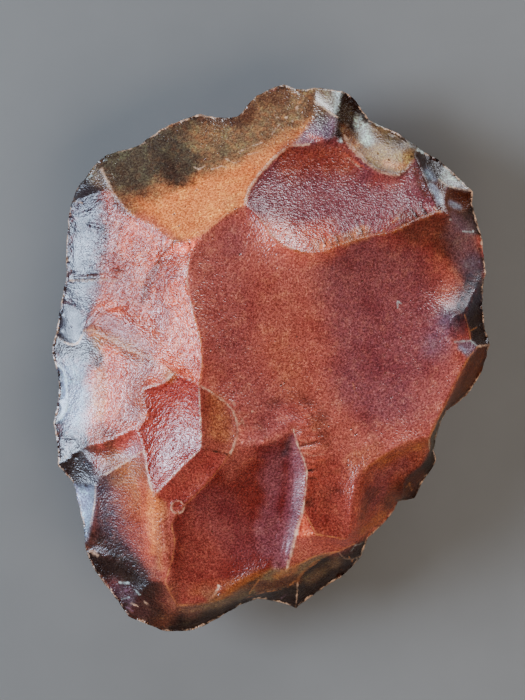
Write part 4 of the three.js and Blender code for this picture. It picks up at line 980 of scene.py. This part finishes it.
def trace_lines(xy, net):
    """For each vertex, its distance from the nearest line in half widths, and that line's colour."""
    far = np.full(len(xy), LINE_REACH)
    paint = np.zeros((len(xy), 4))
    for run, strength, half_width, tone in WORN_AND_LIT_RIDGES + STREAKS:
        path = net.path(run) if isinstance(run, str) else place_flat(run)
        distance, _ = nearest(xy, path, LINE_REACH * half_width)
        closer = distance / half_width < far
        far[closer] = distance[closer] / half_width
        paint[closer] = [*display(tone), strength]
    from_ring = np.hypot(*(xy - place_flat([RING])[0]).T)
    rim = np.abs(from_ring - RING_RADIUS) / RING_LINE
    on_ring = rim < np.minimum(far, LINE_REACH)
    far[on_ring] = rim[on_ring]
    paint[on_ring] = [*display(CREAM), RING_PALENESS]
    return far, paint


def build_stone():
    upper, under = upper_scars(), under_scars()
    net = RidgeNet(upper + under)
    faces_up, owner_up = mesh_scars(upper, net, UPPER_STEP, True)
    split = len(net.vertices)
    faces_down, owner_down = mesh_scars(under, net, UNDER_STEP, False)
    xyz = np.array(net.vertices)
    total = len(xyz)

    rim_names = [f"e{i}" for i in range(len(EDGE))]
    edge_numbers = [n for a, b in pairs(rim_names) for n in net.run(a, b, UPPER_STEP)]
    edge_path = xyz[edge_numbers + edge_numbers[:1], :2]
    is_edge = np.zeros(total, bool)
    is_edge[edge_numbers] = True

    upper_side = np.zeros(total, bool)
    upper_side[np.unique(faces_up)] = True
    owner = np.full(total, -1)
    owner[list(owner_up)] = list(owner_up.values())
    up = np.nonzero(upper_side)[0]
    down = np.nonzero(~upper_side)[0]
    on_rim = owner < 0

    number = {n: i for i, n in enumerate(up)}
    links = links_of([[number[n] for n in face] for face in faces_up])
    before = xyz.copy()
    grit = level_of(xyz[up, :2], owner[up], upper, links, GRIT, POLISHED)
    round_off(xyz, links, up, net)
    surface = xyz[up]
    combed = add_relief(surface, owner[up], upper, net, on_rim[up], grit)
    nick_edge(surface, True, edge_path, UPPER_CHIPS)
    surface[is_edge[up], 2] = xyz[up][is_edge[up], 2]
    xyz[up] = surface
    relief_under(xyz, down, edge_path)
    shake = np.column_stack([layer(xyz, *waver) for waver in EDGE_WAVER])
    edge_distance = nearest(xyz[:, :2], edge_path)[0]
    xyz[:, :2] += shake * np.exp(-edge_distance / WAVER_REACH)[:, None]

    colour = np.tile(display(RED_BROWN), (total, 1))
    colour[up] = paint_upper(xyz[up], owner[up], upper, links)
    # Painted light and shade on the hackles: lighter on their crests, darker at their feet.
    colour[up] *= (1 + HACKLE_LIGHT_AND_SHADE * combed)[:, None]
    colour[down] = paint_under(xyz[down], owner_down, down, under, edge_distance[down])
    line_far, line_paint = np.full(total, LINE_REACH), np.zeros((total, 4))
    line_far[up], line_paint[up] = trace_lines(before[up, :2], net)
    all_grit, sheen = np.ones(total), np.ones(total)
    all_grit[up] = grit
    sheen[up] = level_of(before[up, :2], owner[up], upper, links, SHEEN, SHINING)

    middle = (xyz[:, :2].min(0) + xyz[:, :2].max(0)) / 2
    span = xyz[:, :2].max(0) - xyz[:, :2].min(0)
    xyz[:, :2] = (xyz[:, :2] - middle) / span * SIZE[:2]
    xyz[:, 2] = np.clip(xyz[:, 2], 0, None)
    paints = {"stone_colour": np.column_stack([colour, np.ones(total)]), "line_colour": line_paint}
    values = {"from_line": line_far, "from_edge": edge_distance, "grit": all_grit, "sheen": sheen}
    return xyz, faces_up + faces_down, paints, values


def round_off(xyz, links, up, net):
    """Takes the sharpness off all ridges, and rolls the soft ones over."""
    height = relax(xyz[up, 2], links, 0.5, 2)
    for run, reach in SOFT_RIDGES:
        distance, _ = nearest(xyz[up, :2], net.path(run), reach)
        weight = smooth_step(reach, 0, distance) * ROLL_WEIGHT
        height = relax(height, links, weight, int(ROLL_ROUNDS * reach))
    xyz[up, 2] = height


def relief_under(xyz, down, edge_path):
    """Plainer relief on the hidden face, which stays flat where the stone rests."""
    surface = xyz[down]
    nick_edge(surface, False, edge_path, UNDER_CHIPS)
    from_edge = nearest(surface[:, :2], edge_path)[0]
    free = smooth_step(0.3, 2.5, surface[:, 2]) * smooth_step(0.0, 1.0, from_edge)
    surface[:, 2] += free * sum(layer(surface, *part) for part in UNDER_RELIEF)
    xyz[down] = surface


def paint_under(xyz, owner_down, down, scars, edge_distance):
    palette = [display(scar[3]) for scar in scars]
    colour = np.array([palette[owner_down.get(n, 0)] for n in down])
    ragged = wander(xyz, 7.0, 43, 4)
    dark = smooth_step(9, 2, edge_distance + 5 * ragged) * 0.8
    colour += dark[:, None] * (display(DARK_BROWN) - colour)
    tan = smooth_step(0.25, 0.6, wander(xyz, 16.0, 44, 3)) * 0.6
    colour += tan[:, None] * (display(AMBER) - colour)
    return colour


def make_object(name, xyz, faces, paints, values, material):
    mesh = bpy.data.meshes.new(name)
    mesh.from_pydata((xyz * MM + [0, 0, CAD_LOW[2]]).tolist(), [], faces)
    mesh.update()
    mesh.shade_smooth()
    for kind, paint in paints.items():
        mesh.color_attributes.new(kind, "FLOAT_COLOR", "POINT").data.foreach_set("color", paint.ravel())
    for kind, value in values.items():
        mesh.attributes.new(kind, "FLOAT", "POINT").data.foreach_set("value", value)
    mesh.materials.append(material)
    stone = bpy.data.objects.new(name, mesh)
    bpy.context.scene.collection.objects.link(stone)
    return stone


def add_node(tree, kind, inputs=None, **settings):
    node = tree.nodes.new(kind)
    for key, value in settings.items():
        setattr(node, key, value)
    for key, value in (inputs or {}).items():
        if isinstance(value, bpy.types.NodeSocket):
            tree.links.new(value, node.inputs[key])
        else:
            node.inputs[key].default_value = value
    return node


def blend(tree, mode, amount, first, second):
    node = add_node(tree, "ShaderNodeMix", data_type="RGBA", blend_type=mode)
    for socket, value in zip((node.inputs[0], node.inputs[6], node.inputs[7]), (amount, first, second)):
        if isinstance(value, bpy.types.NodeSocket):
            tree.links.new(value, socket)
        else:
            socket.default_value = value
    return node.outputs[2]


def ramp(tree, value, low, high, low_to=0.0, high_to=1.0):
    node = add_node(tree, "ShaderNodeMapRange", {"Value": value, "From Min": low, "From Max": high,
                                                 "To Min": low_to, "To Max": high_to})
    return node.outputs[0]


def multiply(tree, *values):
    """The product of sockets and numbers."""
    product = values[0]
    for value in values[1:]:
        product = add_node(tree, "ShaderNodeMath", {0: product, 1: value}, operation="MULTIPLY").outputs[0]
    return product


def jasper_material():
    material = bpy.data.materials.new("jasper")
    material.use_nodes = True
    tree = material.node_tree
    shader = tree.nodes["Principled BSDF"]
    where = add_node(tree, "ShaderNodeTexCoord").outputs["Object"]

    def stored(name, output="Fac"):
        return add_node(tree, "ShaderNodeAttribute", attribute_name=name).outputs[output]

    def noise_at(scale, detail=3.0, roughness=0.6, at=where):
        inputs = {"Vector": at, "Scale": scale, "Detail": detail, "Roughness": roughness}
        return add_node(tree, "ShaderNodeTexNoise", inputs).outputs[0]

    def plus(value, other):
        return add_node(tree, "ShaderNodeMath", {0: value, 1: other}, operation="ADD").outputs[0]

    def tinted(colour, amount, factors):
        """The colour times red, green and blue factors, by an amount."""
        factor = blend(tree, "MIX", amount, (1, 1, 1, 1), (*factors, 1))
        return blend(tree, "MULTIPLY", 1.0, colour, factor)

    grit = stored("grit")
    grain = noise_at(2900, 0.6, 0.5)
    speck = noise_at(2400, 1.5, 0.6)
    mottle = noise_at(420, 5, 0.65)
    cloud = noise_at(110, 4, 0.6)
    turned = {"Vector": where, "Rotation": (0, 0, STRIAE_TURN), "Scale": (6, 1, 1)}
    along = add_node(tree, "ShaderNodeMapping", turned, vector_type="TEXTURE").outputs[0]
    striae = noise_at(2300, 1.5, 0.5, along)
    streak = noise_at(1300, 3, 0.5, along)
    colour = stored("stone_colour", "Color")
    colour = tinted(colour, ramp(tree, mottle, 0.5, 0.72, 0, 0.85), (1.35, 1.7, 1.4))
    colour = tinted(colour, ramp(tree, cloud, 0.46, 0.7, 0, 0.85), (0.7, 0.55, 0.6))
    colour = tinted(colour, ramp(tree, grain, 0.36, 0.58, 1, 0), (0.58, 0.5, 0.5))
    colour = tinted(colour, ramp(tree, speck, 0.54, 0.68), (1.5, 1.75, 1.65))
    dark_streaks = multiply(tree, ramp(tree, grit, 1.0, 1.2), ramp(tree, streak, 0.55, 0.42))
    colour = tinted(colour, dark_streaks, (0.84, 0.7, 0.66))
    pits = add_node(tree, "ShaderNodeTexVoronoi", {"Vector": where, "Scale": 620.0, "Randomness": 1.0})
    pit = multiply(tree, ramp(tree, pits.outputs["Distance"], 0.18, 0.06),
                   ramp(tree, noise_at(260, 2, 0.5), 0.56, 0.64))
    colour = blend(tree, "MIX", pit, colour, (*display(DARK_BROWN), 1))

    # Worn ridges, streaks and the painted highlights and shade among them, broken up by the noise, and along
    # the chipped cutting edge a dark line and a pale rim that is partly painted highlight
    ragged = ramp(tree, noise_at(1500, 2, 0.6), 0.3, 0.7, -0.5, 0.5)
    line = multiply(tree, ramp(tree, plus(stored("from_line"), ragged), 1.0, 0.2),
                    stored("line_colour", "Alpha"), ramp(tree, noise_at(460, 3, 0.6), 0.38, 0.6, 0.15, 0.9))
    colour = blend(tree, "MIX", line, colour, stored("line_colour", "Color"))
    from_edge = plus(stored("from_edge"), multiply(tree, ragged, 0.5))
    dark_rim = multiply(tree, ramp(tree, from_edge, 1.0, 0.6),
                        ramp(tree, noise_at(330, 3, 0.6), 0.5, 0.6, 0, 0.75))
    colour = blend(tree, "MIX", dark_rim, colour, (*display(BLACK_BROWN), 1))
    pale_rim_and_glint = multiply(tree, ramp(tree, from_edge, 0.34, 0.16),
                        ramp(tree, noise_at(300, 3, 0.6), 0.45, 0.6, 0, 0.75))
    colour = blend(tree, "MIX", pale_rim_and_glint, colour, (*display(CREAM), 1))
    tree.links.new(colour, shader.inputs["Base Color"])
    tree.links.new(ramp(tree, mottle, 0.3, 0.7, 0.27, 0.38), shader.inputs["Roughness"])
    shader.inputs["IOR"].default_value = JASPER_IOR
    gloss = multiply(tree, stored("sheen"), ramp(tree, line, 0, 1, 0.6, 0.18),
                     ramp(tree, dark_streaks, 0.0, 1.0, 1.1, 0.75), ramp(tree, cloud, 0.4, 0.62, 1.2, 0.7))
    tree.links.new(gloss, shader.inputs["Specular IOR Level"])

    bumps = [
        (grain, multiply(tree, grit, GRAIN_BUMP)),
        (noise_at(1400, 2, 0.5), multiply(tree, grit, PORE_BUMP)),
        (striae, ramp(tree, grit, 1.05, 1.25, 0, STRIAE_BUMP)),
        (multiply(tree, pit, -1.0), PIT_BUMP),
    ]
    normal = None
    for height, distance in bumps:
        inputs = {"Height": height, "Strength": 1.0, "Distance": distance}
        if normal:
            inputs["Normal"] = normal
        normal = add_node(tree, "ShaderNodeBump", inputs).outputs[0]
    tree.links.new(normal, shader.inputs["Normal"])
    return material


FLOOR_SIZE = 3.0  # metres


def floor_material():
    material = bpy.data.materials.new("pale_floor")
    material.use_nodes = True
    tree = material.node_tree
    shader = tree.nodes["Principled BSDF"]
    where = add_node(tree, "ShaderNodeTexCoord").outputs["Object"]
    cloud = add_node(tree, "ShaderNodeTexNoise", {"Vector": where, "Scale": 60.0, "Detail": 3.0})
    shade = ramp(tree, cloud.outputs[0], 0.3, 0.7, 0.2, 0.21)
    tint = add_node(tree, "ShaderNodeCombineColor", {"Red": shade, "Green": shade, "Blue": shade})
    tint = blend(tree, "MULTIPLY", 1.0, tint.outputs[0], (1.0, 0.96, 0.9, 1))
    tree.links.new(tint, shader.inputs["Base Color"])
    shader.inputs["Roughness"].default_value = 0.6
    return material


def make_floor():
    half = FLOOR_SIZE / 2
    mesh = bpy.data.meshes.new("floor")
    corners = [(-half, -half), (half, -half), (half, half), (-half, half)]
    mesh.from_pydata([(x, y, CAD_LOW[2]) for x, y in corners], [], [(0, 1, 2, 3)])
    mesh.materials.append(floor_material())
    floor = bpy.data.objects.new("floor", mesh)
    bpy.context.scene.collection.objects.link(floor)
    floor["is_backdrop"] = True


def make_light(name, place_at, size, power, tint):
    lamp = bpy.data.lights.new(name, "AREA")
    lamp.shape = "RECTANGLE"
    lamp.size, lamp.size_y = size
    lamp.energy = power
    lamp.color = tint
    light = bpy.data.objects.new(name, lamp)
    light.location = place_at
    light.rotation_euler = (-Vector(place_at)).to_track_quat("-Z", "Y").to_euler()
    bpy.context.scene.collection.objects.link(light)
    return light


def make_lights():
    """Two windows that the stone mirrors, and a warm fill that it doesn't, in a dim room."""
    make_light("window_left", place_at=(-0.85, 0.05, 0.42), size=(0.42, 0.52),
               power=16.0, tint=(0.66, 0.8, 1.0))
    make_light("window_beyond", place_at=(0.42, 0.82, 0.2), size=(0.5, 0.28),
               power=8.5, tint=(0.86, 0.92, 1.0))
    fill = make_light("soft_fill", place_at=(0.45, -0.75, 0.7), size=(1.2, 1.2),
                      power=11.0, tint=(1.0, 0.92, 0.84))
    fill.visible_glossy = False
    world = bpy.data.worlds.new("soft_room")
    world.use_nodes = True
    room = world.node_tree.nodes["Background"]
    room.inputs["Color"].default_value = (1.0, 0.97, 0.94, 1)
    room.inputs["Strength"].default_value = 0.1
    bpy.context.scene.world = world


# The photograph looks straight down. Its frame is 525 by 700 pixels, in which the stone's outline
# measures 547 pixels and lies 8.5 pixels right of and below the middle.
PHOTO_HEIGHT = 700
STONE_PIXELS = 547
OFF_CENTRE = 8.5
CAMERA_HEIGHT = 0.45
EDGE_HEIGHT = 0.43 * THICKNESS * MM


def make_camera():
    metres_per_pixel = LENGTH * MM / STONE_PIXELS
    camera = bpy.data.cameras.new("camera")
    camera.sensor_width = 36.0
    seen = PHOTO_HEIGHT * metres_per_pixel
    camera.lens = camera.sensor_width * (CAMERA_HEIGHT - EDGE_HEIGHT) / seen
    camera.clip_start = 0.01
    eye = bpy.data.objects.new("camera", camera)
    off = OFF_CENTRE * metres_per_pixel
    eye.location = (-off, off, CAD_LOW[2] + CAMERA_HEIGHT)
    bpy.context.scene.collection.objects.link(eye)
    bpy.context.scene.camera = eye


stone = make_object("hand_axe_stone", *build_stone(), jasper_material())
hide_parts("hand_axe")
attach(stone, "root")
make_floor()
make_lights()
make_camera()
bpy.context.scene.view_settings.look = "AgX - Medium High Contrast"
